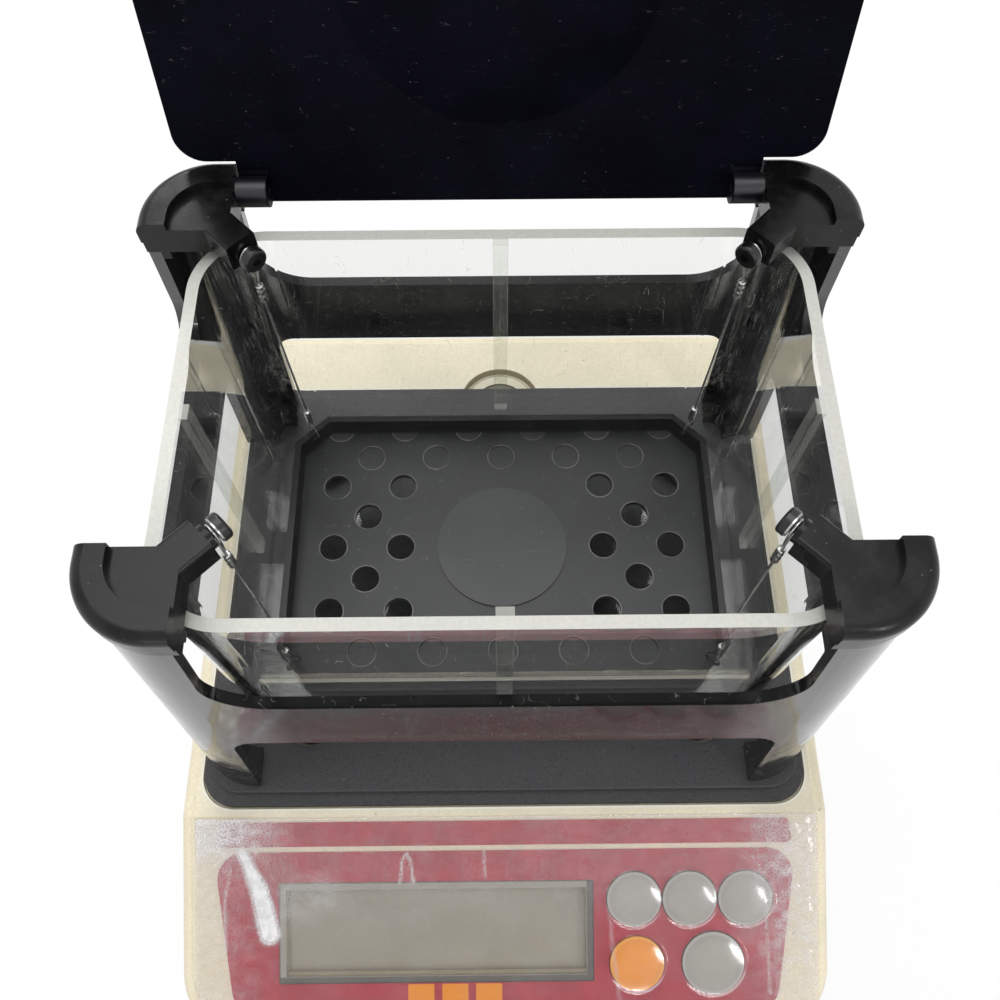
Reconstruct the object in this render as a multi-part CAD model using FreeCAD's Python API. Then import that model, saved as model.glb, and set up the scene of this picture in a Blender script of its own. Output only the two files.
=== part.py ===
import FreeCAD
import Part
import math
import os

Vector = FreeCAD.Vector

# The model is an electronic balance that finds the density of gold: a housing with a
# display and keys, a weighing plate, a lift-off frame with a hinged lid that is the pan
# for weighing in air, and a tray hung on four wires in a clear water tank.
# Lengths are millimetres, X is to the right, Y to the back and Z up. The origin lies at
# the centre of the housing's footprint, on the table.

# Housing. Its deck runs round the plate's recess and is widest at the rear
deck_side_w = 5.7
deck_rear_w = 24.45
front_corner_r = 18.0
rear_corner_r = 14.0
underside_z = 6.0
parting_z = 12.0
front_face_h = 4.72
housing_wall = 2.5
deck_thickness = 3.2
shoulder_inset = 3.4
shoulder_drop = 1.4
shoulder_fillet = 1.1
outer_fillet = 2.4
locating_lip = 1.5
locating_lip_rise = 2.0
locating_clearance = 0.2

# Sloping panel, with the deck between its crease and the recess
crease_gap = 1.95
panel_slope_degrees = 25.0

# Recess for the weighing plate
recess_gap = 0.8
recess_depth = 2.1
recess_under_gap = 1.0

# Housing screws and their bosses
boss_r = 4.0
screw_r = 1.5
screw_fit = 0.05
screw_head_r = 2.8
screw_head_h = 1.3
screw_head_sink = 0.2
screw_reach = 10.0
counterbore_gap = 0.3
side_boss_in = 9.5
side_boss_past_crease = 4.0
side_boss_past_middle = 11.25
rear_boss_in_x = 52.5
rear_boss_in_y = 10.0

# Levelling feet
foot_in_x = 21.5
foot_in_y = 32.0
foot_r = 12.0
foot_pad_in = 1.0
foot_pad_h = 1.8
foot_gap = 0.3
foot_stem_r = 3.0
foot_stem_clearance = 0.3
foot_stem_rise = 9.0
foot_boss_wall = 4.7
foot_boss_h = 8.0
foot_grips = 18
foot_grip_r = 0.9

# Printed overlay
overlay_t = 0.4
strip_top_u = 2.0
strip_h = 7.2
strip_top_in = 12.5
strip_low_in = 11.3
strip_corner_r = 1.5
strip_panel_gap = 1.7
panel_top_in = 10.3
panel_low_in = 16.7
panel_front_margin = 5.2
panel_top_corner_r = 8.0
panel_low_corner_r = 10.0

# Display, between the panel's left edge and the keys
lcd_side_margin = 13.1
lcd_key_gap = 4.1
lcd_above_keys = 5.7
lcd_below_keys = 5.1
lcd_window_t = 1.2
lcd_window_gap = 0.1
lcd_window_ledge = 2.0
lcd_frame_border = 2.0
lcd_frame_wall = 1.6
lcd_lip_drop = 0.2

# Keys
key_r = 8.1
large_key_r = 9.25
key_gap = 0.3
key_rise = 0.5
key_dome = 1.1
key_skirt_gap = 0.2
key_tab_t = 0.8
key_tab_reach = 1.2
key_tab_half_x = 3.0
key_stem_r = 2.0
key_stem_drop = 1.1
key_travel = 0.6
key_switch_gap = 0.1
key_top_margin = 6.7
key_low_margin = 6.85
key_side_margin = 0.9
key_between = 0.45
key_row_gap = 1.85
orange_key_shift = 0.7
large_key_gap = 5.45

# Electronics
board_t = 1.6
board_depth = 7.0
board_left_margin = 12.3
board_right_margin = 16.2
board_top_margin = 9.7
board_low_margin = 9.1
board_post_r = 2.5
board_post_inset = 4.0
board_screw_r = 1.25
board_screw_head_r = 2.6
board_screw_head_h = 1.5
board_screw_reach = 2.0
switch_half = 3.0

# Power inlet in the rear wall
jack_in_x = 37.5
jack_rise = 13.0
jack_body_w = 9.0
jack_body_d = 11.5
jack_body_h = 11.0
jack_nose_r = 4.0
jack_nose_gap = 0.3
jack_nose_sink = 0.3
jack_bore_r = 2.8
jack_pin_r = 1.0

# Weighing plate, under the foot of the frame
plate_side_in = 0.6
plate_end_out = 5.5
plate_corner_r = 9.5
plate_step_in_x = 1.9
plate_step_in_y = 3.6
plate_low_h = 2.2
plate_high_h = 2.2
plate_edge_fillet = 0.6

# Load cell and its support
load_cell_l = 80.0
load_cell_w = 13.0
load_cell_h = 12.0
load_cell_bore_r = 4.4
load_cell_bore_x = 9.0
load_cell_slot = 3.0
load_cell_foot_l = 17.0
load_cell_foot_w = 22.0
load_cell_foot_h = 5.5
support_gap = 0.35
support_t = 3.0
support_post_in_x = 15.0
support_post_in_y = 10.0
support_post_r = 4.0
support_border = 6.0
support_rail = 14.0
support_hole_gap = 1.5

# Tank, which sets the size of all that goes round it and of the tray in it
tank_half_x = 77.0
tank_half_y = 52.7
tank_h = 103.0
tank_corner_r = 18.0
tank_wall = 3.0
tank_floor_t = 4.0
tank_lift = 5.3
tank_forward = 2.75
strip_w = 4.0
strip_t = 2.0
strip_above_floor = 19.4
pillar_in_x = 17.0
pillar_in_y = 7.7
pillar_r = 7.5
pillar_gap = 1.5
pillar_pad_in = 1.0
pillar_pad_t = 0.5

# Bubble level
level_in = 30.5
level_vial_r = 9.2
level_vial_gap = 0.1
level_vial_t = 6.4
level_vial_sink = 0.5
level_cup_wall = 0.6
level_body_h = 7.0
level_hole_gap = 0.2
level_flange_w = 3.5
level_flange_t = 1.9
level_under_gap = 0.7
level_pocket_gap = 1.2

# Lift-off frame
tank_side_gap = 6.4
tank_end_gap = 5.3
frame_over_tank = 3.3
frame_wall_t = 3.0
frame_corner_r = 17.0
frame_splay_x = 5.2
frame_splay_y = 7.5
upper_cut_h = 36.5
upper_cut_side = 19.8
upper_cut_end = 20.0
upper_cut_splay = 2.0
upper_cut_r = 14.0
lower_cut_h = 46.7
lower_cut_side = 20.6
lower_cut_end = 21.5
lower_cut_splay_x = 2.3
lower_cut_splay_y = 2.5
lower_cut_r = 7.0
foot_flange_w = 8.0
foot_flange_t = 2.5

# Post caps
cap_overhang = 0.6
cap_corner_more = 0.5
cap_end_past_x = 1.6
cap_end_past_y = 0.2
cap_seat_h = 7.7
cap_rim_rise = 2.0
cap_band_h = 3.4
cap_band_inset = 0.4
cap_rim_w = 7.4
cap_rim_fillet = 3.0
cap_skirt_h = 2.5
cap_skirt_t = 2.0
cap_skirt_gap = 0.2

# Arms, hanger screws and wires
arm_w = 8.3
arm_fillet = 0.9
arm_reach = 6.2
screw_axis_rise = 4.0
collar_r = 3.0
collar_l = 1.3
hanger_shank_r = 1.25
hanger_shank_grip = 5.0
hanger_slot = 1.3
washer_r = 3.0
washer_t = 0.4
hanger_head_r = 3.25
hanger_head_l = 2.2
hanger_head_fillet = 0.8
hanger_socket_r = 1.2
hanger_socket_l = 1.2
wire_r = 0.35
upper_loop_gap = 0.3
lower_loop_r = 2.4
sleeve_r = 0.85
sleeve_l = 4.0
sleeve_start = 1.5

# Tray
tray_side_gap = 8.5
tray_end_gap = 7.2
tray_rise = 24.0
tray_chamfer = 9.7
tray_wall = 2.0
tray_rim_h = 8.0
tray_floor_t = 2.0
tray_hole_r = 4.2
tray_hole_side_margin = 6.8
tray_hole_end_margin = 4.8
tray_outer_column = 5
tray_outer_row = 3
tray_blind_depth = 0.6
tray_disc_border = 22.5
tray_disc_rise = 0.5
tray_edge_hole_r = 1.25
tray_edge_hole_drop = 2.25
loop_seat_gap = 0.55

# Lid
lid_side_gap = 1.0
lid_front_gap = 1.1
lid_rear_in = 6.35
lid_t = 2.2
lid_seat_gap = 0.3
lid_front_r = 9.0
lid_rear_r = 7.0
lid_dish_border = 9.1
lid_dish_y = 4.0
lid_dish_drop = 3.5
lid_tongue_past = 4.85
lid_tongue_r = 2.0
hinge_in = 6.15
hinge_drop = 3.0
knuckle_r = 3.7
knuckle_gap = 0.3
knuckle_l = 7.7
hinge_pin_r = 1.2
hinge_pin_fit = 0.05
hinge_pin_grip = 6.0
lid_open_degrees = 104.0

# Overrun for cuts that pass a face, and the sharp corner's radius
overrun = 1.0
sharp = 0.0

# What follows from the values above

diagonal = math.sqrt(0.5)
slope = math.radians(panel_slope_degrees)

# Frame round the tank, plate under the frame, housing round the plate
frame_top_half_x = tank_half_x + tank_side_gap + frame_wall_t
frame_top_half_y = tank_half_y + tank_end_gap + frame_wall_t
frame_foot_half_x = frame_top_half_x + frame_splay_x
frame_foot_half_y = frame_top_half_y + frame_splay_y
plate_half_x = frame_foot_half_x - plate_side_in
plate_half_y = frame_foot_half_y + plate_end_out
housing_half_x = plate_half_x + recess_gap + deck_side_w

# Panel, measured as u down its slope: strip, keys, display and board
strip_low_u = strip_top_u + strip_h
panel_top_u = strip_low_u + strip_panel_gap
upper_key_u = panel_top_u + key_top_margin + key_r
lower_key_u = upper_key_u + key_r + key_row_gap + large_key_r
panel_low_u = lower_key_u + large_key_r + key_low_margin
strip_top_half_x = housing_half_x - strip_top_in
strip_low_half_x = housing_half_x - strip_low_in
panel_top_half_x = housing_half_x - panel_top_in
panel_low_half_x = housing_half_x - panel_low_in
upper_key_pitch = 2 * key_r + key_between
right_key_x = panel_low_half_x - key_side_margin - key_r
upper_key_x = right_key_x - 2 * upper_key_pitch
orange_key_x = upper_key_x + orange_key_shift
large_key_x = orange_key_x + key_r + large_key_gap + large_key_r
lcd_left_x = lcd_side_margin - panel_low_half_x
lcd_right_x = upper_key_x - key_r - lcd_key_gap
lcd_top_u = upper_key_u - lcd_above_keys
lcd_low_u = lower_key_u + lcd_below_keys
lcd_centre_x = (lcd_left_x + lcd_right_x) / 2
lcd_centre_u = (lcd_top_u + lcd_low_u) / 2
lcd_width = lcd_right_x - lcd_left_x
lcd_height = lcd_low_u - lcd_top_u
board_left_x = lcd_left_x - board_left_margin
board_right_x = right_key_x + board_right_margin
board_top_u = upper_key_u - board_top_margin
board_low_u = lower_key_u + board_low_margin

# Depth of the housing: panel, recess and rear deck
panel_depth = (panel_low_u + panel_front_margin) * math.cos(slope)
recess_depth_y = 2 * (plate_half_y + recess_gap)
housing_half_y = (panel_depth + crease_gap + recess_depth_y + deck_rear_w) / 2
crease_y = panel_depth - housing_half_y
frame_centre_y = crease_y + crease_gap + recess_gap + plate_half_y
tank_centre_y = frame_centre_y - tank_forward

# Heights
deck_z = parting_z + front_face_h + panel_depth * math.tan(slope)
recess_floor_z = deck_z - recess_depth
plate_bottom_z = recess_floor_z + recess_under_gap
plate_step_z = plate_bottom_z + plate_low_h
plate_top_z = plate_step_z + plate_high_h
base_floor_z = underside_z + housing_wall
tank_bottom_z = plate_top_z + tank_lift
tank_rim_z = tank_bottom_z + tank_h
strip_l = tank_h - tank_floor_t - strip_above_floor
frame_top_z = tank_rim_z + frame_over_tank
band_top_z = frame_top_z - upper_cut_h
band_low_z = plate_top_z + lower_cut_h
cap_seat_z = frame_top_z + cap_seat_h
cap_top_z = cap_seat_z + cap_rim_rise
screw_axis_z = frame_top_z + screw_axis_rise
hinge_z = cap_seat_z - hinge_drop

# Screw bosses, feet, inlet and level in the housing
boss_hole_r = screw_r + screw_fit
counterbore_r = screw_head_r + counterbore_gap
side_boss_x = housing_half_x - side_boss_in
side_boss_front_y = crease_y - side_boss_past_crease
side_boss_rear_y = frame_centre_y + side_boss_past_middle
rear_boss_x = housing_half_x - rear_boss_in_x
rear_boss_y = housing_half_y - rear_boss_in_y
foot_x = housing_half_x - foot_in_x
foot_y = housing_half_y - foot_in_y
foot_pad_r = foot_r - foot_pad_in
foot_hole_r = foot_stem_r + foot_stem_clearance
foot_boss_r = foot_hole_r + foot_boss_wall
jack_x = jack_in_x - housing_half_x
jack_z = parting_z + jack_rise
level_y = housing_half_y - level_in
level_body_r = level_vial_r + level_cup_wall
level_flange_r = level_body_r + level_flange_w
level_pocket_r = level_flange_r + level_pocket_gap
level_boss_r = level_pocket_r + housing_wall

# Tank's pillars and the plate's support between them
pillar_x = tank_half_x - pillar_in_x
pillar_y = tank_half_y - pillar_in_y
pillar_hole_r = pillar_r + pillar_gap
pillar_pad_r = pillar_r - pillar_pad_in
support_post_x = pillar_x - support_post_in_x
support_post_y = pillar_y - support_post_in_y

# Openings in the frame's walls
upper_cut_top_x = frame_top_half_x - upper_cut_side
upper_cut_low_x = upper_cut_top_x + upper_cut_splay
upper_cut_top_y = frame_top_half_y - upper_cut_end
upper_cut_low_y = upper_cut_top_y + upper_cut_splay
lower_cut_top_x = frame_foot_half_x - lower_cut_side
lower_cut_low_x = lower_cut_top_x + lower_cut_splay_x
lower_cut_top_y = frame_foot_half_y - lower_cut_end
lower_cut_low_y = lower_cut_top_y + lower_cut_splay_y

# Caps and arms on the frame, lid on the caps
cap_half_x = frame_top_half_x + cap_overhang
cap_half_y = frame_top_half_y + cap_overhang
cap_corner_r = frame_corner_r + cap_corner_more
cap_end_x = upper_cut_top_x - cap_end_past_x
cap_end_y = upper_cut_top_y - cap_end_past_y
arm_end_sum = cap_end_x + cap_end_y - arm_reach
hinge_y = cap_half_y - hinge_in
lid_half_x = cap_half_x - cap_rim_w - lid_side_gap
lid_front_y = cap_half_y - cap_rim_w - lid_front_gap
lid_rear_y = hinge_y - lid_rear_in
lid_tongue_y = hinge_y + lid_tongue_past
lid_dish_r = lid_rear_y - lid_dish_y - lid_dish_border

# Tray inside the tank
tray_half_x = tank_half_x - tank_wall - tray_side_gap
tray_half_y = tank_half_y - tank_wall - tray_end_gap
tray_rim_z = tank_bottom_z + tray_rise
tray_bottom_z = tray_rim_z - tray_rim_h - tray_floor_t
tray_floor_z = tray_bottom_z + tray_floor_t
tray_corner_sum = tray_half_x + tray_half_y - tray_chamfer
tray_disc_r = tray_half_y - tray_disc_border
tray_hole_reach_x = tray_half_x - tray_wall - tray_hole_side_margin - tray_hole_r
tray_hole_reach_y = tray_half_y - tray_wall - tray_hole_end_margin - tray_hole_r
tray_hole_pitch_x = tray_hole_reach_x / tray_outer_column
tray_hole_pitch_y = tray_hole_reach_y / tray_outer_row


def round_outline(corners):
    """Closed wire through corner points, each given with its own rounding radius."""
    arcs = []
    for index, (point, radius) in enumerate(corners):
        before = corners[index - 1][0]
        after = corners[(index + 1) % len(corners)][0]
        if radius == sharp:
            arcs.append((point, None, point))
            continue
        to_before = (before - point).normalize()
        to_after = (after - point).normalize()
        half_angle = to_before.getAngle(to_after) / 2
        reach = radius / math.tan(half_angle)
        inward = (to_before + to_after).normalize()
        middle = point + inward * (radius / math.sin(half_angle) - radius)
        arcs.append((point + to_before * reach, middle, point + to_after * reach))
    edges = []
    for index, (start, middle, end) in enumerate(arcs):
        if middle is not None:
            edges.append(Part.Arc(start, middle, end).toShape())
        edges.append(Part.makeLine(end, arcs[(index + 1) % len(arcs)][0]))
    return Part.Wire(edges)


def rectangle_wire(half_x, half_y, radii, z, centre_y):
    """Rectangle about (0, centre_y) with one radius for the front and one for the rear."""
    front_r, rear_r = radii
    corners = [
        (Vector(half_x, centre_y + half_y, z), rear_r),
        (Vector(-half_x, centre_y + half_y, z), rear_r),
        (Vector(-half_x, centre_y - half_y, z), front_r),
        (Vector(half_x, centre_y - half_y, z), front_r),
    ]
    return round_outline(corners)


def slab(half_x, half_y, radius, low_z, high_z, centre_y):
    """Upright rounded block."""
    outline = rectangle_wire(half_x, half_y, (radius, radius), low_z, centre_y)
    return Part.Face(outline).extrude(Vector(0, 0, high_z - low_z))


def block(low, high):
    """Square-edged box between two corner points."""
    size = high - low
    return Part.makeBox(size.x, size.y, size.z, low)


def post(x, y, radius, low_z, high_z):
    """Upright round bar."""
    return Part.makeCylinder(radius, high_z - low_z, Vector(x, y, low_z))


def corners_of(x, y, centre_y):
    """The four places that mirror one another about the centre lines."""
    return [(side * x, centre_y + end * y) for side in (-1, 1) for end in (-1, 1)]


def fuse_all(shapes):
    """One solid from overlapping or touching shapes, with flush faces joined."""
    joined = shapes[0].multiFuse(shapes[1:])
    return joined.removeSplitter()


def on_panel(shape):
    """Moves a shape drawn flat, with the crease at y = 0, onto the sloping panel."""
    placed = shape.copy()
    placed.rotate(Vector(0, 0, 0), Vector(1, 0, 0), panel_slope_degrees)
    placed.translate(Vector(0, crease_y, deck_z))
    return placed


def save(name, shape):
    """Writes one sub-part."""
    shape.exportStep("parts/" + name + ".step")
    print(name, shape.isValid(), len(shape.Solids), round(shape.Volume))


# Housing


def housing_block(side_inset, top_inset, low_z):
    """Wedge-fronted block of the housing, drawn in by the given amounts."""
    front_y = side_inset - housing_half_y
    rear_y = housing_half_y - side_inset
    top_z = deck_z - top_inset
    fold_y = crease_y + top_inset * math.tan(slope / 2)
    front_z = top_z - (fold_y - front_y) * math.tan(slope)
    half_x = housing_half_x - side_inset
    outline = [
        (front_y, low_z),
        (rear_y, low_z),
        (rear_y, top_z),
        (fold_y, top_z),
        (front_y, front_z),
    ]
    corners = [(Vector(-half_x, y, z), sharp) for y, z in outline]
    wedge = Part.Face(round_outline(corners)).extrude(Vector(2 * half_x, 0, 0))
    radii = (front_corner_r - side_inset, rear_corner_r - side_inset)
    plan = rectangle_wire(half_x, housing_half_y - side_inset, radii, low_z, 0)
    return wedge.common(Part.Face(plan).extrude(Vector(0, 0, deck_z - low_z)))


def soften_top(solid, low_z, radius):
    """Rounds the rim of a housing block, but not its crease or its upright edges."""
    rim = []
    for edge in solid.Edges:
        box = edge.BoundBox
        upright = box.XLength < radius / 2 and box.YLength < radius / 2
        along_crease = abs(box.YMin - crease_y) < housing_wall and box.XLength > housing_half_x
        if box.ZMin > low_z + radius and not upright and not along_crease:
            rim.append(edge)
    return solid.makeFillet(radius, rim)


def boss_places():
    """Centres of the six screw bosses."""
    places = []
    for side in (-1, 1):
        places.append((side * side_boss_x, side_boss_front_y))
        places.append((side * side_boss_x, side_boss_rear_y))
        places.append((side * rear_boss_x, rear_boss_y))
    return places


def board_post_places():
    """Centres of the four posts that carry the board, as x and distance down the slope."""
    left = board_left_x + board_post_inset
    right = board_right_x - board_post_inset
    top = board_top_u + board_post_inset
    low = board_low_u - board_post_inset
    return [(x, u) for x in (left, right) for u in (top, low)]


def keys():
    """Name, x, distance down the slope and radius of each key."""
    upper = [
        ("key_left", upper_key_x),
        ("key_middle", upper_key_x + upper_key_pitch),
        ("key_right", upper_key_x + 2 * upper_key_pitch),
    ]
    found = [(name, x, upper_key_u, key_r) for name, x in upper]
    found.append(("key_orange", orange_key_x, lower_key_u, key_r))
    found.append(("key_large", large_key_x, lower_key_u, large_key_r))
    return found


def flat_post(x, u, radius, low, high):
    """Round bar square to the panel, drawn flat for on_panel."""
    return Part.makeCylinder(radius, high - low, Vector(x, -u, low))


def flat_rectangle(x, u, width, height, low, high, radius):
    """Block on the panel about x and u, drawn flat for on_panel."""
    outline = rectangle_wire(width / 2, height / 2, (radius, radius), low, -u)
    shape = Part.Face(outline).extrude(Vector(0, 0, high - low))
    shape.translate(Vector(x, 0, 0))
    return shape


def make_cover():
    low_z = parting_z
    outer = soften_top(housing_block(0, shoulder_drop, low_z), low_z, outer_fillet)
    raised = soften_top(housing_block(shoulder_inset, 0, low_z), low_z, shoulder_fillet)
    cavity = housing_block(housing_wall, deck_thickness, base_floor_z)
    cover = outer.fuse(raised).cut(cavity)
    # Thicker deck under the recess, a boss for the level, and the screw bosses
    pad_half_y = plate_half_y + recess_gap + housing_wall
    pad_low = Vector(-housing_half_x, frame_centre_y - pad_half_y, recess_floor_z - housing_wall)
    pad_high = Vector(housing_half_x, frame_centre_y + pad_half_y, deck_z)
    additions = [block(pad_low, pad_high)]
    level_floor_z = plate_bottom_z - level_under_gap - level_flange_t
    additions.append(post(0, level_y, level_boss_r, level_floor_z - housing_wall, deck_z))
    additions += [post(x, y, boss_r, base_floor_z, deck_z) for x, y in boss_places()]
    for x, u in board_post_places():
        additions.append(on_panel(flat_post(x, u, board_post_r, -board_depth, 0)))
    cover = fuse_all([cover] + [shape.common(cavity) for shape in additions])
    # Recess and holes in the deck
    recess = slab(
        plate_half_x + recess_gap,
        plate_half_y + recess_gap,
        plate_corner_r + recess_gap,
        recess_floor_z,
        deck_z + overrun,
        frame_centre_y,
    )
    cuts = [recess]
    for x, y in corners_of(support_post_x, support_post_y, frame_centre_y):
        hole_r = support_post_r + support_hole_gap
        cuts.append(post(x, y, hole_r, base_floor_z, deck_z))
    cuts.append(post(0, level_y, level_pocket_r, level_floor_z, deck_z + overrun))
    cuts.append(post(0, level_y, level_body_r + level_hole_gap, base_floor_z, deck_z))
    for x, y in boss_places():
        cuts.append(post(x, y, boss_hole_r, underside_z, base_floor_z + screw_reach))
    # Window and key holes in the panel
    window_low = overlay_t - lcd_window_t
    window_w = lcd_width + 2 * lcd_window_gap
    window_h = lcd_height + 2 * lcd_window_gap
    pocket = flat_rectangle(
        lcd_centre_x, lcd_centre_u, window_w, window_h, window_low, overrun, sharp
    )
    opening = flat_rectangle(
        lcd_centre_x,
        lcd_centre_u,
        lcd_width - 2 * lcd_window_ledge,
        lcd_height - 2 * lcd_window_ledge,
        -deck_thickness - overrun,
        overrun,
        sharp,
    )
    cuts += [on_panel(pocket), on_panel(opening)]
    for name, x, u, radius in keys():
        hole = flat_post(x, u, radius + key_gap, -deck_thickness - overrun, overrun)
        cuts.append(on_panel(hole))
    for x, u in board_post_places():
        reach = deck_thickness + board_screw_reach / 2
        pilot = flat_post(x, u, board_screw_r + screw_fit, -board_depth - overrun, -reach)
        cuts.append(on_panel(pilot))
    # Hole for the power inlet
    inlet = Part.makeCylinder(
        jack_nose_r + jack_nose_gap,
        housing_wall + 2 * overrun,
        Vector(jack_x, housing_half_y - housing_wall - overrun, jack_z),
        Vector(0, 1, 0),
    )
    cuts.append(inlet)
    return cover.cut(Part.makeCompound(cuts))


def make_base():
    def plan(inset, low_z, high_z):
        radii = (front_corner_r - inset, rear_corner_r - inset)
        wire = rectangle_wire(housing_half_x - inset, housing_half_y - inset, radii, low_z, 0)
        return Part.Face(wire).extrude(Vector(0, 0, high_z - low_z))

    lip_out = housing_wall + locating_clearance
    lip_in = lip_out + locating_lip
    lip_top = parting_z + locating_lip_rise
    base = plan(0, underside_z, parting_z).fuse(plan(lip_out, base_floor_z, lip_top))
    base = base.cut(plan(lip_in, base_floor_z, lip_top + overrun))
    feet = corners_of(foot_x, foot_y, 0)
    bosses = [post(x, y, foot_boss_r, base_floor_z, base_floor_z + foot_boss_h) for x, y in feet]
    base = fuse_all([base] + bosses)
    cuts = []
    for x, y in feet:
        cuts.append(post(x, y, foot_hole_r, 0, base_floor_z + foot_boss_h + overrun))
    for x, y in boss_places():
        cuts.append(post(x, y, boss_hole_r, 0, base_floor_z + overrun))
        sink_z = underside_z + screw_head_sink + screw_head_h
        cuts.append(post(x, y, counterbore_r, 0, sink_z))
    return base.cut(Part.makeCompound(cuts))


def make_housing_screws():
    head_z = underside_z + screw_head_sink
    screws = []
    for x, y in boss_places():
        head = post(x, y, screw_head_r, head_z, head_z + screw_head_h)
        shank = post(x, y, screw_r, head_z, base_floor_z + screw_reach - overrun)
        socket = post(x, y, screw_r / 2, 0, head_z + screw_head_h / 2)
        screws.append(fuse_all([head, shank]).cut(socket))
    return Part.makeCompound(screws)


def make_foot(x, y):
    top_z = underside_z - foot_gap
    wheel = post(x, y, foot_r, foot_pad_h, top_z)
    notches = []
    for index in range(foot_grips):
        angle = 2 * math.pi * index / foot_grips
        notch_x = x + foot_r * math.cos(angle)
        notch_y = y + foot_r * math.sin(angle)
        notches.append(post(notch_x, notch_y, foot_grip_r, 0, top_z + overrun))
    wheel = wheel.cut(Part.makeCompound(notches))
    stem = post(x, y, foot_stem_r, foot_pad_h, top_z + foot_stem_rise)
    return fuse_all([wheel, stem])


def make_foot_pad(x, y):
    return post(x, y, foot_pad_r, 0, foot_pad_h)


# Panel, display, keys and electronics


def overlay_sheet(top_u, low_u, top_half_x, low_half_x, top_r, low_r):
    """Thin printed sheet, narrower at one edge, with round corners."""
    corners = [
        (Vector(top_half_x, -top_u, 0), top_r),
        (Vector(-top_half_x, -top_u, 0), top_r),
        (Vector(-low_half_x, -low_u, 0), low_r),
        (Vector(low_half_x, -low_u, 0), low_r),
    ]
    return Part.Face(round_outline(corners)).extrude(Vector(0, 0, overlay_t))


def make_overlay_strip():
    sheet = overlay_sheet(
        strip_top_u, strip_low_u, strip_top_half_x, strip_low_half_x, strip_corner_r, strip_corner_r
    )
    return on_panel(sheet)


def make_panel_overlay():
    sheet = overlay_sheet(
        panel_top_u,
        panel_low_u,
        panel_top_half_x,
        panel_low_half_x,
        panel_top_corner_r,
        panel_low_corner_r,
    )
    width = lcd_width + 2 * lcd_window_gap
    height = lcd_height + 2 * lcd_window_gap
    sheet = sheet.cut(
        flat_rectangle(lcd_centre_x, lcd_centre_u, width, height, -overrun, overrun, sharp)
    )
    for name, x, u, radius in keys():
        sheet = sheet.cut(flat_post(x, u, radius + key_gap, -overrun, overrun))
    return on_panel(sheet)


def make_lcd_window():
    low = overlay_t - lcd_window_t
    return on_panel(
        flat_rectangle(lcd_centre_x, lcd_centre_u, lcd_width, lcd_height, low, overlay_t, sharp)
    )


def make_lcd_frame():
    width = lcd_width + 2 * lcd_frame_border
    height = lcd_height + 2 * lcd_frame_border
    place = (lcd_centre_x, lcd_centre_u)
    frame = flat_rectangle(*place, width, height, -board_depth, -deck_thickness, sharp)
    inner_w = width - 2 * lcd_frame_wall
    inner_h = height - 2 * lcd_frame_wall
    floor = lcd_frame_wall - board_depth
    return on_panel(
        frame.cut(flat_rectangle(*place, inner_w, inner_h, floor, overrun, sharp))
    )


def make_lcd_glass():
    width = lcd_width + 2 * lcd_frame_border - 2 * lcd_frame_wall - 2 * lcd_window_gap
    height = lcd_height + 2 * lcd_frame_border - 2 * lcd_frame_wall - 2 * lcd_window_gap
    low = lcd_frame_wall - board_depth
    high = -deck_thickness - lcd_lip_drop
    return on_panel(
        flat_rectangle(lcd_centre_x, lcd_centre_u, width, height, low, high, sharp)
    )


def make_key(x, u, radius):
    """Domed round key with two retaining tabs under the cover and a stem to its switch."""
    skirt_low = -deck_thickness - key_skirt_gap - key_tab_t
    brim = overlay_t + key_rise
    barrel = flat_post(x, u, radius, skirt_low, brim)
    ball_r = (radius**2 + key_dome**2) / (2 * key_dome)
    ball = Part.makeSphere(ball_r, Vector(x, -u, brim + key_dome - ball_r))
    cap = ball.common(flat_post(x, u, radius, brim, brim + key_dome + overrun))
    tabs = flat_rectangle(
        x,
        u,
        2 * key_tab_half_x,
        2 * (radius + key_tab_reach),
        skirt_low,
        skirt_low + key_tab_t,
        sharp,
    )
    stem = flat_post(x, u, key_stem_r, skirt_low - key_stem_drop, skirt_low)
    return on_panel(fuse_all([barrel, cap, tabs, stem]))


def make_key_switches():
    """Small switches on the board, one under each key, with room for the key's travel."""
    stem_low = -deck_thickness - key_skirt_gap - key_tab_t - key_stem_drop
    top = stem_low - key_travel - key_switch_gap
    switches = []
    for name, x, u, radius in keys():
        side = 2 * switch_half
        switches.append(on_panel(flat_rectangle(x, u, side, side, -board_depth, top, sharp)))
    return Part.makeCompound(switches)


def make_main_board():
    low = Vector(board_left_x, -board_low_u, -board_depth - board_t)
    high = Vector(board_right_x, -board_top_u, -board_depth)
    board = block(low, high)
    for x, u in board_post_places():
        hole = flat_post(x, u, board_screw_r + screw_fit, low.z - overrun, high.z + overrun)
        board = board.cut(hole)
    return on_panel(board)


def make_board_screws():
    under = -board_depth - board_t
    screws = []
    for x, u in board_post_places():
        head = flat_post(x, u, board_screw_head_r, under - board_screw_head_h, under)
        shank = flat_post(x, u, board_screw_r, under, board_screw_reach + under + board_t)
        screws.append(on_panel(fuse_all([head, shank])))
    return Part.makeCompound(screws)


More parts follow.
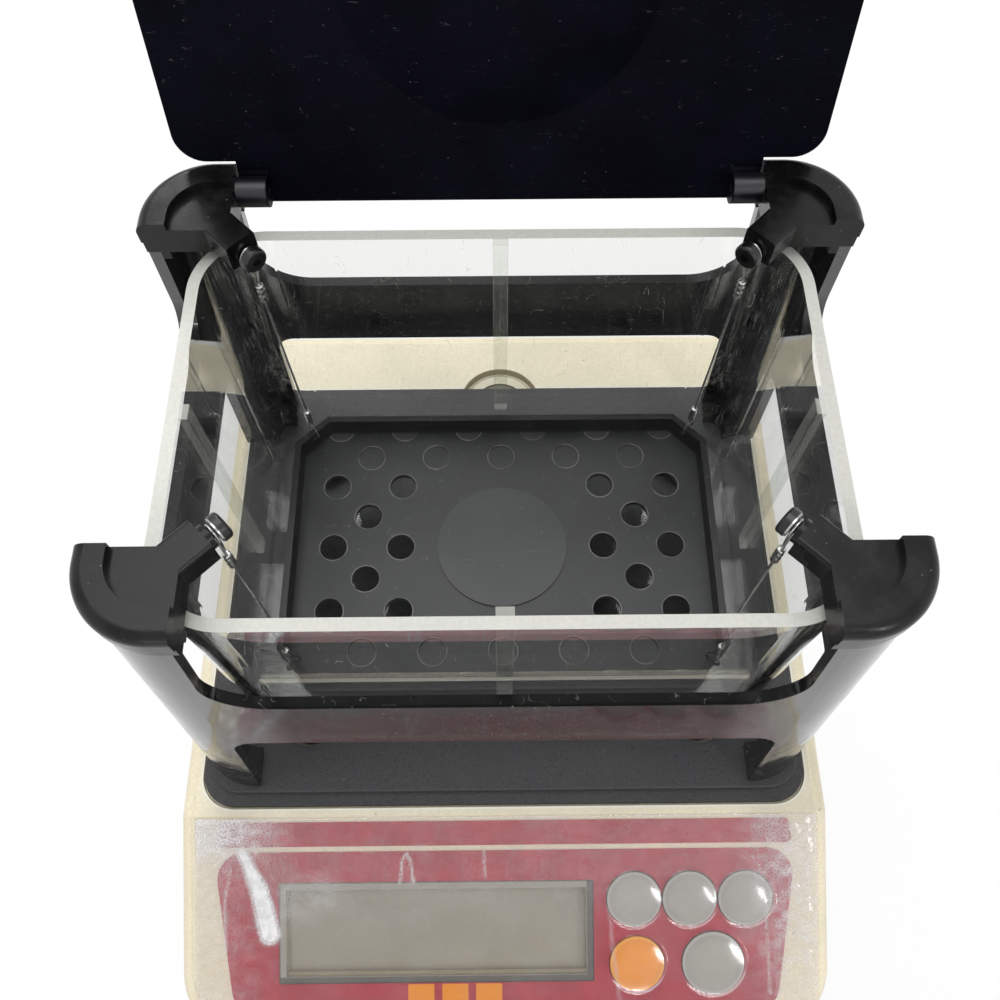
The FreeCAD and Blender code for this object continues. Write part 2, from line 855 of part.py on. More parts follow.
def make_power_jack():
    rear_y = housing_half_y - housing_wall
    low = Vector(jack_x - jack_body_w / 2, rear_y - jack_body_d, jack_z - jack_body_h / 2)
    high = Vector(jack_x + jack_body_w / 2, rear_y, jack_z + jack_body_h / 2)
    nose_l = housing_wall - jack_nose_sink
    axis = Vector(0, 1, 0)
    nose = Part.makeCylinder(jack_nose_r, nose_l, Vector(jack_x, rear_y, jack_z), axis)
    bore_start = Vector(jack_x, rear_y - jack_body_d / 2, jack_z)
    bore_l = jack_body_d / 2 + housing_wall
    bore = Part.makeCylinder(jack_bore_r, bore_l, bore_start, axis)
    pin = Part.makeCylinder(jack_pin_r, bore_l - housing_wall, bore_start, axis)
    return fuse_all([block(low, high), nose]).cut(bore).fuse(pin).removeSplitter()


# Weighing plate and load cell


def make_weighing_plate():
    lower = slab(
        plate_half_x, plate_half_y, plate_corner_r, plate_bottom_z, plate_step_z, frame_centre_y
    )
    upper = slab(
        plate_half_x - plate_step_in_x,
        plate_half_y - plate_step_in_y,
        plate_corner_r,
        plate_step_z,
        plate_top_z,
        frame_centre_y,
    )
    rim = [edge for edge in upper.Edges if edge.BoundBox.ZMin > plate_top_z - plate_edge_fillet]
    upper = upper.makeFillet(plate_edge_fillet, rim)
    holes = [
        post(x, y, pillar_hole_r, plate_bottom_z - overrun, plate_top_z + overrun)
        for x, y in corners_of(pillar_x, pillar_y, tank_centre_y)
    ]
    return fuse_all([lower, upper]).cut(Part.makeCompound(holes))


def make_pan_support():
    """Rectangular carrier on the free end of the load cell, with four posts to the plate."""
    low_z = base_floor_z + load_cell_foot_h + load_cell_h + support_gap
    high_z = low_z + support_t
    half_x = support_post_x + support_border
    half_y = support_post_y + support_border
    plate = slab(half_x, half_y, support_border, low_z, high_z, frame_centre_y)
    window = block(
        Vector(-half_x + support_rail, frame_centre_y + support_rail / 2, low_z - overrun),
        Vector(half_x - support_rail, frame_centre_y + half_y - support_rail, high_z + overrun),
    )
    mirrored = window.mirror(Vector(0, frame_centre_y, 0), Vector(0, 1, 0))
    posts = [
        post(x, y, support_post_r, low_z, plate_bottom_z)
        for x, y in corners_of(support_post_x, support_post_y, frame_centre_y)
    ]
    return fuse_all([plate.cut(window).cut(mirrored)] + posts)


def make_load_cell():
    """Bar with two joined bores, fixed at its left end and loaded at its right end."""
    low_z = base_floor_z + load_cell_foot_h
    low = Vector(-load_cell_l / 2, frame_centre_y - load_cell_w / 2, low_z)
    high = Vector(load_cell_l / 2, frame_centre_y + load_cell_w / 2, low_z + load_cell_h)
    bar = block(low, high)
    middle_z = low_z + load_cell_h / 2
    for side in (-1, 1):
        start = Vector(side * load_cell_bore_x, low.y - overrun, middle_z)
        bar = bar.cut(
            Part.makeCylinder(load_cell_bore_r, load_cell_w + 2 * overrun, start, Vector(0, 1, 0))
        )
    slot_low = Vector(-load_cell_bore_x, low.y - overrun, middle_z - load_cell_slot / 2)
    slot_high = Vector(load_cell_bore_x, high.y + overrun, middle_z + load_cell_slot / 2)
    return bar.cut(block(slot_low, slot_high))


def make_load_cell_mount():
    half_w = load_cell_foot_w / 2
    low = Vector(-load_cell_l / 2, frame_centre_y - half_w, base_floor_z)
    high = Vector(
        load_cell_foot_l - load_cell_l / 2,
        frame_centre_y + half_w,
        base_floor_z + load_cell_foot_h,
    )
    return block(low, high)


# Bubble level


def make_level_bezel():
    top_z = plate_bottom_z - level_under_gap
    flange_z = top_z - level_flange_t
    flange = post(0, level_y, level_flange_r, flange_z, top_z)
    cup = post(0, level_y, level_body_r, flange_z - level_body_h, flange_z)
    bore_r = level_vial_r + level_vial_gap
    vial_z = top_z - level_vial_sink - level_vial_t
    return fuse_all([flange, cup]).cut(post(0, level_y, bore_r, vial_z, top_z + overrun))


def make_level_vial():
    top_z = plate_bottom_z - level_under_gap - level_vial_sink
    return post(0, level_y, level_vial_r, top_z - level_vial_t, top_z)


# Tank


def make_tank():
    outer = slab(tank_half_x, tank_half_y, tank_corner_r, tank_bottom_z, tank_rim_z, tank_centre_y)
    inner = slab(
        tank_half_x - tank_wall,
        tank_half_y - tank_wall,
        tank_corner_r - tank_wall,
        tank_bottom_z + tank_floor_t,
        tank_rim_z + overrun,
        tank_centre_y,
    )
    return outer.cut(inner)


def make_tank_strips():
    """Upright strips on the inside of the tank, one at the middle of each wall."""
    low_z = tank_rim_z - strip_l
    half_w = strip_w / 2
    wall_x = tank_half_x - tank_wall
    wall_y = tank_half_y - tank_wall
    strips = []
    for side in (-1, 1):
        near_x, far_x = sorted((side * wall_x, side * (wall_x - strip_t)))
        low = Vector(near_x, tank_centre_y - half_w, low_z)
        strips.append(block(low, Vector(far_x, tank_centre_y + half_w, tank_rim_z)))
        near_y, far_y = sorted((side * wall_y, side * (wall_y - strip_t)))
        low = Vector(-half_w, tank_centre_y + near_y, low_z)
        strips.append(block(low, Vector(half_w, tank_centre_y + far_y, tank_rim_z)))
    return Part.makeCompound(strips)


def make_tank_pillars():
    top_z = tank_bottom_z - pillar_pad_t
    places = corners_of(pillar_x, pillar_y, tank_centre_y)
    return Part.makeCompound([post(x, y, pillar_r, recess_floor_z, top_z) for x, y in places])


def make_pillar_pads():
    low_z = tank_bottom_z - pillar_pad_t
    places = corners_of(pillar_x, pillar_y, tank_centre_y)
    return Part.makeCompound([post(x, y, pillar_pad_r, low_z, tank_bottom_z) for x, y in places])


# Lift-off frame


def frame_shell(inset, low_z, high_z):
    """Splayed tube of the frame, drawn in by the wall, between two heights."""
    wires = []
    for z in (low_z, high_z):
        share = (z - plate_top_z) / (frame_top_z - plate_top_z)
        half_x = frame_foot_half_x + (frame_top_half_x - frame_foot_half_x) * share - inset
        half_y = frame_foot_half_y + (frame_top_half_y - frame_foot_half_y) * share - inset
        radius = frame_corner_r - inset
        wires.append(rectangle_wire(half_x, half_y, (radius, radius), z, frame_centre_y))
    return Part.makeLoft(wires, True, True)


def cut_through(low_half, high_half, low_z, high_z, low_r, high_r, along_x):
    """Prism that cuts an opening through both facing walls of the frame."""
    corners = [
        (Vector(-low_half, 0, low_z), low_r),
        (Vector(low_half, 0, low_z), low_r),
        (Vector(high_half, 0, high_z), high_r),
        (Vector(-high_half, 0, high_z), high_r),
    ]
    reach = housing_half_y
    prism = Part.Face(round_outline(corners)).extrude(Vector(0, 2 * reach, 0))
    prism.translate(Vector(0, -reach, 0))
    if along_x:
        prism.rotate(Vector(0, 0, 0), Vector(0, 0, 1), 90)
    prism.translate(Vector(0, frame_centre_y, 0))
    return prism


def make_frame_wall():
    tube = frame_shell(0, plate_top_z, frame_top_z)
    hollow = frame_shell(frame_wall_t, plate_top_z, frame_top_z)
    flange_z = plate_top_z + foot_flange_t
    flange = frame_shell(frame_wall_t / 2, plate_top_z, flange_z)
    flange = flange.cut(frame_shell(frame_wall_t + foot_flange_w, plate_top_z, flange_z))
    wall = tube.cut(hollow).fuse(flange)
    top_z = frame_top_z + overrun
    low_z = plate_top_z - overrun
    for low_half, high_half, along_x in (
        (upper_cut_low_x, upper_cut_top_x, False),
        (upper_cut_low_y, upper_cut_top_y, True),
    ):
        wall = wall.cut(
            cut_through(low_half, high_half, band_top_z, top_z, upper_cut_r, sharp, along_x)
        )
    for low_half, high_half, along_x in (
        (lower_cut_low_x, lower_cut_top_x, False),
        (lower_cut_low_y, lower_cut_top_y, True),
    ):
        wall = wall.cut(
            cut_through(low_half, high_half, low_z, band_low_z, sharp, lower_cut_r, along_x)
        )
    return wall.removeSplitter()


def cap_plan(inset, low_z, high_z):
    """Upright block with the caps' outline, drawn in by the given amount."""
    return slab(
        cap_half_x - inset,
        cap_half_y - inset,
        cap_corner_r - inset,
        low_z,
        high_z,
        frame_centre_y,
    )


def hanger_bar(radius, start, length):
    """Round bar on the screw's axis at the front left arm, measured from the arm's end."""
    offset = start * diagonal
    half_sum = arm_end_sum / 2
    half_difference = (cap_end_x - cap_end_y) / 2
    origin = Vector(
        -(half_sum + half_difference) + offset,
        frame_centre_y - (half_sum - half_difference) + offset,
        screw_axis_z,
    )
    return Part.makeCylinder(radius, length, origin, Vector(diagonal, diagonal, 0))


def make_left_front_cap():
    """Cap of the front left post: a raised rim, a seat for the lid and the hanger arm."""
    seam_z = frame_top_z + cap_band_h
    rim = cap_plan(0, seam_z, cap_top_z)
    top_edges = [edge for edge in rim.Edges if edge.BoundBox.ZMin > cap_seat_z]
    rim = rim.makeFillet(cap_rim_fillet, top_edges)
    rim = rim.cut(cap_plan(cap_rim_w, cap_seat_z, cap_top_z + overrun))
    band = cap_plan(cap_band_inset, frame_top_z, seam_z)
    skirt_inset = cap_half_x - frame_top_half_x + frame_wall_t + cap_skirt_gap
    skirt_z = frame_top_z - cap_skirt_h
    skirt = cap_plan(skirt_inset, skirt_z, frame_top_z)
    skirt = skirt.cut(cap_plan(skirt_inset + cap_skirt_t, skirt_z - overrun, frame_top_z))
    corner = block(
        Vector(-cap_half_x, frame_centre_y - cap_half_y, skirt_z),
        Vector(-cap_end_x, frame_centre_y - cap_end_y, cap_top_z),
    )
    cap = fuse_all([band, rim, skirt]).common(corner)
    # Arm along the diagonal, from inside the cap to its end
    root_sum = cap_end_x + cap_end_y
    arm_l = (root_sum - arm_end_sum) * diagonal + arm_w
    height = cap_seat_z - frame_top_z
    arm = Part.makeBox(arm_l, arm_w, height, Vector(-arm_l, -arm_w / 2, frame_top_z))
    long_edges = [edge for edge in arm.Edges if edge.BoundBox.XLength > arm_w]
    arm = arm.makeFillet(arm_fillet, long_edges)
    arm.rotate(Vector(0, 0, 0), Vector(0, 0, 1), 45)
    half_difference = (cap_end_x - cap_end_y) / 2
    half_sum = arm_end_sum / 2
    arm.translate(
        Vector(-half_sum - half_difference, frame_centre_y - half_sum + half_difference, 0)
    )
    cap = fuse_all([cap, arm, hanger_bar(collar_r, 0, collar_l)])
    hole_l = hanger_shank_grip + collar_l + overrun
    return cap.cut(hanger_bar(hanger_shank_r + screw_fit, -hanger_shank_grip, hole_l))


def to_corner(shape, side, end):
    """Mirrors a shape made for the front left corner to another corner."""
    placed = shape.copy()
    if side > 0:
        placed = placed.mirror(Vector(0, 0, 0), Vector(1, 0, 0))
    if end > 0:
        placed = placed.mirror(Vector(0, frame_centre_y, 0), Vector(0, 1, 0))
    return placed


def hinge_bar(radius, near_x, far_x, side):
    """Round bar on the lid's hinge axis."""
    start = Vector(side * near_x, frame_centre_y + hinge_y, hinge_z)
    return Part.makeCylinder(radius, far_x - near_x, start, Vector(side, 0, 0))


def make_cap(side, end):
    cap = to_corner(make_left_front_cap(), side, end)
    if end > 0:
        # Hole for the hinge pin
        far_x = cap_end_x + hinge_pin_grip
        cap = cap.cut(hinge_bar(hinge_pin_r + screw_fit, cap_end_x - overrun, far_x, side))
    return cap


def make_hanger_screws():
    screws = []
    for side, end in corner_signs():
        head_start = collar_l + hanger_slot + washer_t
        shank = hanger_bar(hanger_shank_r, -hanger_shank_grip, hanger_shank_grip + head_start)
        head = hanger_bar(hanger_head_r, head_start, hanger_head_l)
        rounds = [edge for edge in head.Edges if edge.Closed]
        inner = max(rounds, key=lambda edge: edge.CenterOfMass.x)
        head = head.makeFillet(hanger_head_fillet, [inner])
        socket_start = head_start + hanger_head_l - hanger_socket_l
        socket = hanger_bar(hanger_socket_r, socket_start, hanger_socket_l + overrun)
        screws.append(to_corner(fuse_all([shank, head]).cut(socket), side, end))
    return Part.makeCompound(screws)


def make_hanger_washers():
    washers = []
    for side, end in corner_signs():
        start = collar_l + hanger_slot
        disc = hanger_bar(washer_r, start, washer_t)
        hole_l = washer_t + 2 * overrun
        hole = hanger_bar(hanger_shank_r + screw_fit, start - overrun, hole_l)
        washers.append(to_corner(disc.cut(hole), side, end))
    return Part.makeCompound(washers)


def make_hinge_pins():
    near_x = cap_end_x - knuckle_l
    far_x = cap_end_x + hinge_pin_grip
    return Part.makeCompound([hinge_bar(hinge_pin_r, near_x, far_x, side) for side in (-1, 1)])


def corner_signs():
    """Left or right and front or rear, as signs, for the four corners."""
    return [(-1, -1), (-1, 1), (1, -1), (1, 1)]


# Wires and tray


def make_wire(side, end):
    """Hanger wire with a loop round the screw, a loop through the tray and two sleeves."""
    upper_r = hanger_shank_r + upper_loop_gap + wire_r
    middle = collar_l + hanger_slot / 2
    half_difference = (cap_end_x - cap_end_y) / 2
    half_sum = arm_end_sum / 2 - middle * diagonal
    upper = Vector(
        -half_sum - half_difference, frame_centre_y - half_sum + half_difference, screw_axis_z
    )
    wall_sum = tray_corner_sum - tray_wall * diagonal
    wall_half_difference = (tray_half_x - tray_half_y) / 2
    seat_z = tray_rim_z - tray_edge_hole_drop + tray_edge_hole_r
    lower = Vector(
        -wall_sum / 2 - wall_half_difference,
        frame_centre_y - wall_sum / 2 + wall_half_difference,
        seat_z - loop_seat_gap + lower_loop_r - wire_r,
    )
    across_arm = Vector(diagonal, diagonal, 0)
    across_tray = Vector(diagonal, -diagonal, 0)
    upper_loop = Part.makeTorus(upper_r, wire_r, upper, across_arm)
    lower_loop = Part.makeTorus(lower_loop_r, wire_r, lower, across_tray)
    top = upper - Vector(0, 0, upper_r)
    bottom = lower + Vector(0, 0, lower_loop_r)
    run = bottom - top
    direction = Vector(run).normalize()
    straight = Part.makeCylinder(wire_r, run.Length, top, direction)
    upper_sleeve = Part.makeCylinder(sleeve_r, sleeve_l, top + direction * sleeve_start, direction)
    lower_sleeve = Part.makeCylinder(
        sleeve_r, sleeve_l, bottom - direction * (sleeve_start + sleeve_l), direction
    )
    wire = fuse_all([upper_loop, straight, lower_loop, upper_sleeve, lower_sleeve])
    return to_corner(wire, side, end)


def tray_plan(inset, low_z, high_z):
    """Upright block with the tray's eight-sided outline, drawn in by the given amount."""
    half_x = tray_half_x - inset
    half_y = tray_half_y - inset
    chamfer = tray_chamfer - inset * (2 - 1 / diagonal)
    turns = [(1, 1), (-1, 1), (-1, -1), (1, -1)]
    corners = []
    for index, (side, end) in enumerate(turns):
        pair = [
            Vector(side * half_x, frame_centre_y + end * (half_y - chamfer), low_z),
            Vector(side * (half_x - chamfer), frame_centre_y + end * half_y, low_z),
        ]
        if index % 2:
            pair.reverse()
        corners += [(point, sharp) for point in pair]
    return Part.Face(round_outline(corners)).extrude(Vector(0, 0, high_z - low_z))


def make_tray():
    tray = tray_plan(0, tray_bottom_z, tray_rim_z)
    tray = tray.cut(tray_plan(tray_wall, tray_floor_z, tray_rim_z + overrun))
    disc = post(0, frame_centre_y, tray_disc_r, tray_bottom_z, tray_floor_z + tray_disc_rise)
    tray = fuse_all([tray, disc])
    cuts = []
    # Drain holes stand in two groups of eight, left and right of the disc
    rows = {-2: (3, 5), -1: (4,), 0: (3, 5), 1: (4,), 2: (3, 5)}
    for row, columns in rows.items():
        for column in columns:
            for side in (-1, 1):
                x = side * column * tray_hole_pitch_x
                y = frame_centre_y + row * tray_hole_pitch_y
                low_z = tray_bottom_z - overrun
                cuts.append(post(x, y, tray_hole_r, low_z, tray_floor_z + overrun))
    # Blind rounds stand in a row along the front and the rear
    for row in (-tray_outer_row, tray_outer_row):
        for column in (-4, -2, 0, 2, 4):
            x = column * tray_hole_pitch_x
            y = frame_centre_y + row * tray_hole_pitch_y
            low_z = tray_floor_z - tray_blind_depth
            cuts.append(post(x, y, tray_hole_r, low_z, tray_floor_z + overrun))
    # Holes in the cut-off corners for the wires
    hole_z = tray_rim_z - tray_edge_hole_drop
    wall_sum = tray_corner_sum - tray_wall * diagonal
    half_difference = (tray_half_x - tray_half_y) / 2
    for side, end in corner_signs():
        place = Vector(
            -wall_sum / 2 - half_difference, frame_centre_y - wall_sum / 2 + half_difference, hole_z
        )
        axis = Vector(diagonal, diagonal, 0)
        reach = tray_wall + overrun
        hole = Part.makeCylinder(tray_edge_hole_r, 2 * reach, place - axis * reach, axis)
        cuts.append(to_corner(hole, side, end))
    return tray.cut(Part.makeCompound(cuts))


# Lid


def make_lid():
    """Lid and in-air pan, drawn closed and then turned up about its hinge."""
    low_z = cap_seat_z + lid_seat_gap
    front_y = frame_centre_y - lid_front_y
    rear_y = frame_centre_y + lid_rear_y
    tongue_y = frame_centre_y + lid_tongue_y
    knuckle_far_x = cap_end_x - knuckle_gap
    corners = [
        (Vector(lid_half_x, rear_y, low_z), lid_rear_r),
        (Vector(knuckle_far_x, rear_y, low_z), sharp),
        (Vector(knuckle_far_x, tongue_y, low_z), lid_tongue_r),
        (Vector(-knuckle_far_x, tongue_y, low_z), lid_tongue_r),
        (Vector(-knuckle_far_x, rear_y, low_z), sharp),
        (Vector(-lid_half_x, rear_y, low_z), lid_rear_r),
        (Vector(-lid_half_x, front_y, low_z), lid_front_r),
        (Vector(lid_half_x, front_y, low_z), lid_front_r),
    ]
    sheet = Part.Face(round_outline(corners)).extrude(Vector(0, 0, lid_t))
    dish_y = frame_centre_y + lid_dish_y
    ball_r = (lid_dish_r**2 + lid_dish_drop**2) / (2 * lid_dish_drop)
    bowl = Part.makeSphere(ball_r, Vector(0, dish_y, low_z - lid_dish_drop + ball_r))
    well = post(0, dish_y, lid_dish_r, low_z - lid_dish_drop, low_z)
    outside = bowl.common(well)
    inside = bowl.copy()
    inside.translate(Vector(0, 0, lid_t))
    inside = inside.common(post(0, dish_y, lid_dish_r, low_z - lid_dish_drop, low_z + lid_t))
    sheet = fuse_all([sheet, outside]).cut(inside)
    knuckles = []
    for side in (-1, 1):
        near_x = knuckle_far_x - knuckle_l
        knuckles.append(hinge_bar(knuckle_r, near_x, knuckle_far_x, side))
    lid = fuse_all([sheet] + knuckles)
    for side in (-1, 1):
        bore = hinge_bar(
            hinge_pin_r + hinge_pin_fit, cap_end_x - knuckle_l - overrun, cap_end_x, side
        )
        lid = lid.cut(bore)
    axis_point = Vector(0, frame_centre_y + hinge_y, hinge_z)
    lid.rotate(axis_point, Vector(1, 0, 0), -lid_open_degrees)
    return lid


os.makedirs("parts", exist_ok=True)

save("housing_cover", make_cover())
save("housing_base", make_base())
save("housing_screws", make_housing_screws())
save("overlay_strip", make_overlay_strip())
save("panel_overlay", make_panel_overlay())
save("lcd_window", make_lcd_window())
save("lcd_frame", make_lcd_frame())
save("lcd_glass", make_lcd_glass())
save("main_board", make_main_board())
save("board_screws", make_board_screws())
save("key_switches", make_key_switches())
save("power_jack", make_power_jack())
save("load_cell", make_load_cell())
save("load_cell_mount", make_load_cell_mount())
save("level_bezel", make_level_bezel())
save("level_vial", make_level_vial())
save("tank_pillars", make_tank_pillars())
save("pillar_pads", make_pillar_pads())
save("tank", make_tank())
save("tank_strips", make_tank_strips())
save("pan_support", make_pan_support())
save("weighing_plate", make_weighing_plate())
save("frame_wall", make_frame_wall())
save("hanger_screws", make_hanger_screws())
save("hanger_washers", make_hanger_washers())
save("hinge_pins", make_hinge_pins())
save("lid", make_lid())
save("tray", make_tray())
for key_name, key_x, key_u, this_key_r in keys():
    save(key_name, make_key(key_x, key_u, this_key_r))
for side_sign, end_sign in corner_signs():
    corner_name = ("front" if end_sign < 0 else "rear") + ("_left" if side_sign < 0 else "_right")
    save("cap_" + corner_name, make_cap(side_sign, end_sign))
    save("wire_" + corner_name, make_wire(side_sign, end_sign))
    save("foot_" + corner_name, make_foot(side_sign * foot_x, end_sign * foot_y))
    save("foot_pad_" + corner_name, make_foot_pad(side_sign * foot_x, end_sign * foot_y))
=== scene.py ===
"""Looks of an electronic density balance for gold, laid on its packed CAD model.

The balance has an ivory housing with a maroon panel under a worn clear film, a black
weighing plate, a glossy black frame with a lid, and a clear water tank in which a tray
hangs on four wires. Lengths are metres, X is to the right, Y to the back and Z up.
"""

import math

import bpy
import numpy as np
from mathutils import Matrix, Vector


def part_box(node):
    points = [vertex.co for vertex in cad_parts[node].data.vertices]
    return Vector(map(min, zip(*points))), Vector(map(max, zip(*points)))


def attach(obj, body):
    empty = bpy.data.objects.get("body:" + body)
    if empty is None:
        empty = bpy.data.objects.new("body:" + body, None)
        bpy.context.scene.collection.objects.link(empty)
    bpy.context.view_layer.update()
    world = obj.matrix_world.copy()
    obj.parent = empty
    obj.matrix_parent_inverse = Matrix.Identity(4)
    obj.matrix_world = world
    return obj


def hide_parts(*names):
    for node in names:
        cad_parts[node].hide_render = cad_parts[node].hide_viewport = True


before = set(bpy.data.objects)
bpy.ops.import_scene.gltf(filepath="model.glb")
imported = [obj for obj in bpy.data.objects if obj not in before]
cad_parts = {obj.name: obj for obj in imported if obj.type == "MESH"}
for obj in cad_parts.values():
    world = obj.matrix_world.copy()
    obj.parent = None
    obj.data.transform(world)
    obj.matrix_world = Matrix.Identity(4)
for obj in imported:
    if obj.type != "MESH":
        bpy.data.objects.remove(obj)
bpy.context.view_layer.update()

bl_info = {
    "name": "Gold density balance",
    "version": (1, 0, 0),
    "blender": (4, 5, 0),
    "location": "View3D > Sidebar > Balance",
    "description": "Finishes, hanger wires, panel film and studio of a gold density balance",
    "category": "Object",
}

MM = 0.001

# The sloping panel starts at its crease and is measured as x and u, down the slope
PANEL_SLOPE = math.radians(25.0)
CREASE = (0.0, -58.0 * MM, 44.7 * MM)
PRINT_T = 0.4 * MM
DISPLAY_U = 35.0 * MM
SQUARES_X = (-25.4 * MM, -15.2 * MM, -5.1 * MM)
SQUARES_U = 54.5 * MM
UPPER_KEYS_U = 25.7 * MM
LOWER_KEYS_U = 44.9 * MM
BRIM_RISE = 0.9 * MM
DOME_RISE = 1.1 * MM
KEY_RADII = dict.fromkeys(("key_left", "key_middle", "key_right", "key_orange"), 8.1 * MM)
KEY_RADII["key_large"] = 9.25 * MM

PARTING_Z = 12.0 * MM
RECESS_GAP = 0.8 * MM
RECESS_CORNER_R = 10.3 * MM
KNUCKLE_R = 5.0 * MM
KNUCKLE_X = 57.3 * MM
TRAY_RIM_H = 8.0 * MM
TRAY_PITCH = 10.5 * MM
TRAY_HOLE_R = 4.2 * MM
TRAY_RING_R = 4.32 * MM
TRAY_DISC_R = 20.0 * MM

# Where the wires hang and hold: outward from the tray's middle, and the screws' height
UPPER_HOOK = (60.52 * MM, 36.32 * MM)
LOWER_HOOK = (59.94 * MM, 36.94 * MM)
HOOK_Z = 163.6 * MM
CORNERS = ("front_left", "rear_left", "front_right", "rear_right")


def shade(red, green, blue):
    """A colour as it looks on screen, 0 to 255, as the linear numbers that shaders take."""
    parts = np.array((red, green, blue)) / 255
    linear = np.where(parts <= 0.04045, parts / 12.92, ((parts + 0.055) / 1.055) ** 2.4)
    return tuple(float(part) for part in linear)


def colour(name, description, red, green, blue):
    """A colour property, given as it looks on screen."""
    return bpy.props.FloatVectorProperty(
        name=name,
        description=description,
        default=shade(red, green, blue),
        size=3,
        min=0.0,
        max=1.0,
        subtype="COLOR",
    )


def length(name, description, millimetres):
    """A length property, given in millimetres."""
    return bpy.props.FloatProperty(
        name=name, description=description, default=millimetres * MM, min=0.0, unit="LENGTH"
    )


def amount(name, description, default, most=10.0):
    """A plain number property from zero up."""
    return bpy.props.FloatProperty(
        name=name, description=description, default=default, min=0.0, max=most
    )


def angle(name, description, degrees):
    """An angle property, given in degrees."""
    return bpy.props.FloatProperty(
        name=name, description=description, default=math.radians(degrees), unit="ROTATION"
    )


class BalanceColours(bpy.types.PropertyGroup):
    """Colours of the balance's plastics, prints and metals."""

    ivory: colour("Ivory", "Housing", 245, 235, 208)
    maroon: colour("Maroon", "Printed panel", 165, 38, 54)
    label: colour("Label", "Small squares on the panel", 246, 156, 14)
    display: colour("Display", "Glass of the display", 200, 194, 179)
    key_grey: colour("Grey keys", "Four grey keys", 175, 172, 162)
    key_orange: colour("Orange key", "The orange key", 250, 158, 16)
    plate_black: colour("Plate", "Grained black of the weighing plate", 60, 60, 62)
    frame_black: colour("Frame", "Glossy black of the frame", 10, 10, 12)
    cap_black: colour("Caps", "Satin black of the post caps", 11, 11, 13)
    lid_black: colour("Lid", "Black of the lid", 6, 6, 14)
    tray_grey: colour("Tray", "Dark grey of the tray", 48, 49, 50)
    acrylic: colour("Acrylic", "Clear tank", 252, 253, 251)
    # The milky sawn edges, which on the tank's rim also stand in for highlights
    sawn_edge_and_highlight: colour("Sawn edge", "Milky edge of the tank", 238, 238, 230)
    steel: colour("Steel", "Wires, washers and screws", 186, 186, 184)
    rubber: colour("Rubber", "Pads", 30, 30, 31)


class FilmSizes(bpy.types.PropertyGroup):
    """Sizes of the clear protective film over the panel."""

    left: length("Left edge", "Reach to the left of the middle", 92.6)
    right: length("Right edge", "Reach to the right of the middle", 93.6)
    top: length("Top edge", "Start below the crease", 0.6)
    low: length("Low edge", "End below the crease", 62.5)
    lift: length("Lift", "Gap between the printed panel and the film", 0.14)
    thickness: length("Thickness", "Thickness of the film", 0.12)
    step: length("Step", "Distance between the grid's lines", 0.62)
    wrinkle: length("Wrinkle", "Height of the wrinkles at the film's sides", 0.42)


class WireSizes(bpy.types.PropertyGroup):
    """Sizes of the hanger wires and their crimp sleeves."""

    radius: length("Wire radius", "Radius of the wire", 0.35)
    upper_half_w: length("Upper loop", "Half the width of the loop round the screw", 2.1)
    lower_half_w: length("Lower loop", "Half the width of the loop through the tray", 2.4)
    upper_drop: length("Upper drop", "Depth of the upper loop's tip below the screw", 11.5)
    lower_rise: length("Lower rise", "Height of the lower loop's tip over its low end", 8.3)
    sleeve_radius: length("Sleeve radius", "Radius of a crimp sleeve", 1.1)
    sleeve_length: length("Sleeve length", "Length of a crimp sleeve", 6.4)
    tail: length("Tail", "Length of the wire's end past its sleeve", 1.6)


class StudioSettings(bpy.types.PropertyGroup):
    """Floor, lamps and camera."""

    camera_place: bpy.props.FloatVectorProperty(
        name="Camera",
        description="Place of the camera",
        default=(-1.631 * MM, -98.327 * MM, 346.313 * MM),
        size=3,
        subtype="TRANSLATION",
    )
    pitch: angle("Pitch", "Camera's tilt below the horizon", 64.3624)
    yaw: angle("Yaw", "Camera's turn to the right", 0.5013)
    roll: angle("Roll", "Camera's roll", -0.0685)
    lens: amount("Lens", "Focal length for a sensor of 36 mm", 34.701, 200.0)
    floor_w: amount("Floor", "Width of the floor in metres", 8.0, 50.0)
    floor_glow: amount("Floor glow", "Share of plain white in what the eye sees of the floor", 0.9)
    sky: amount("Sky", "Strength of the even light from all round", 0.5)
    top_power: amount("Top lamp", "Power of the softbox overhead, in watts", 7.3, 100.0)
    rear_power: amount("Rear lamp", "Power of the softbox behind", 6.5, 100.0)
    side_power: amount("Side lamp", "Power of the narrow lamp at the front right", 2.2, 100.0)
    low_power: amount("Low lamp", "Power of the wide lamp low down in front", 2.2, 100.0)


# Materials


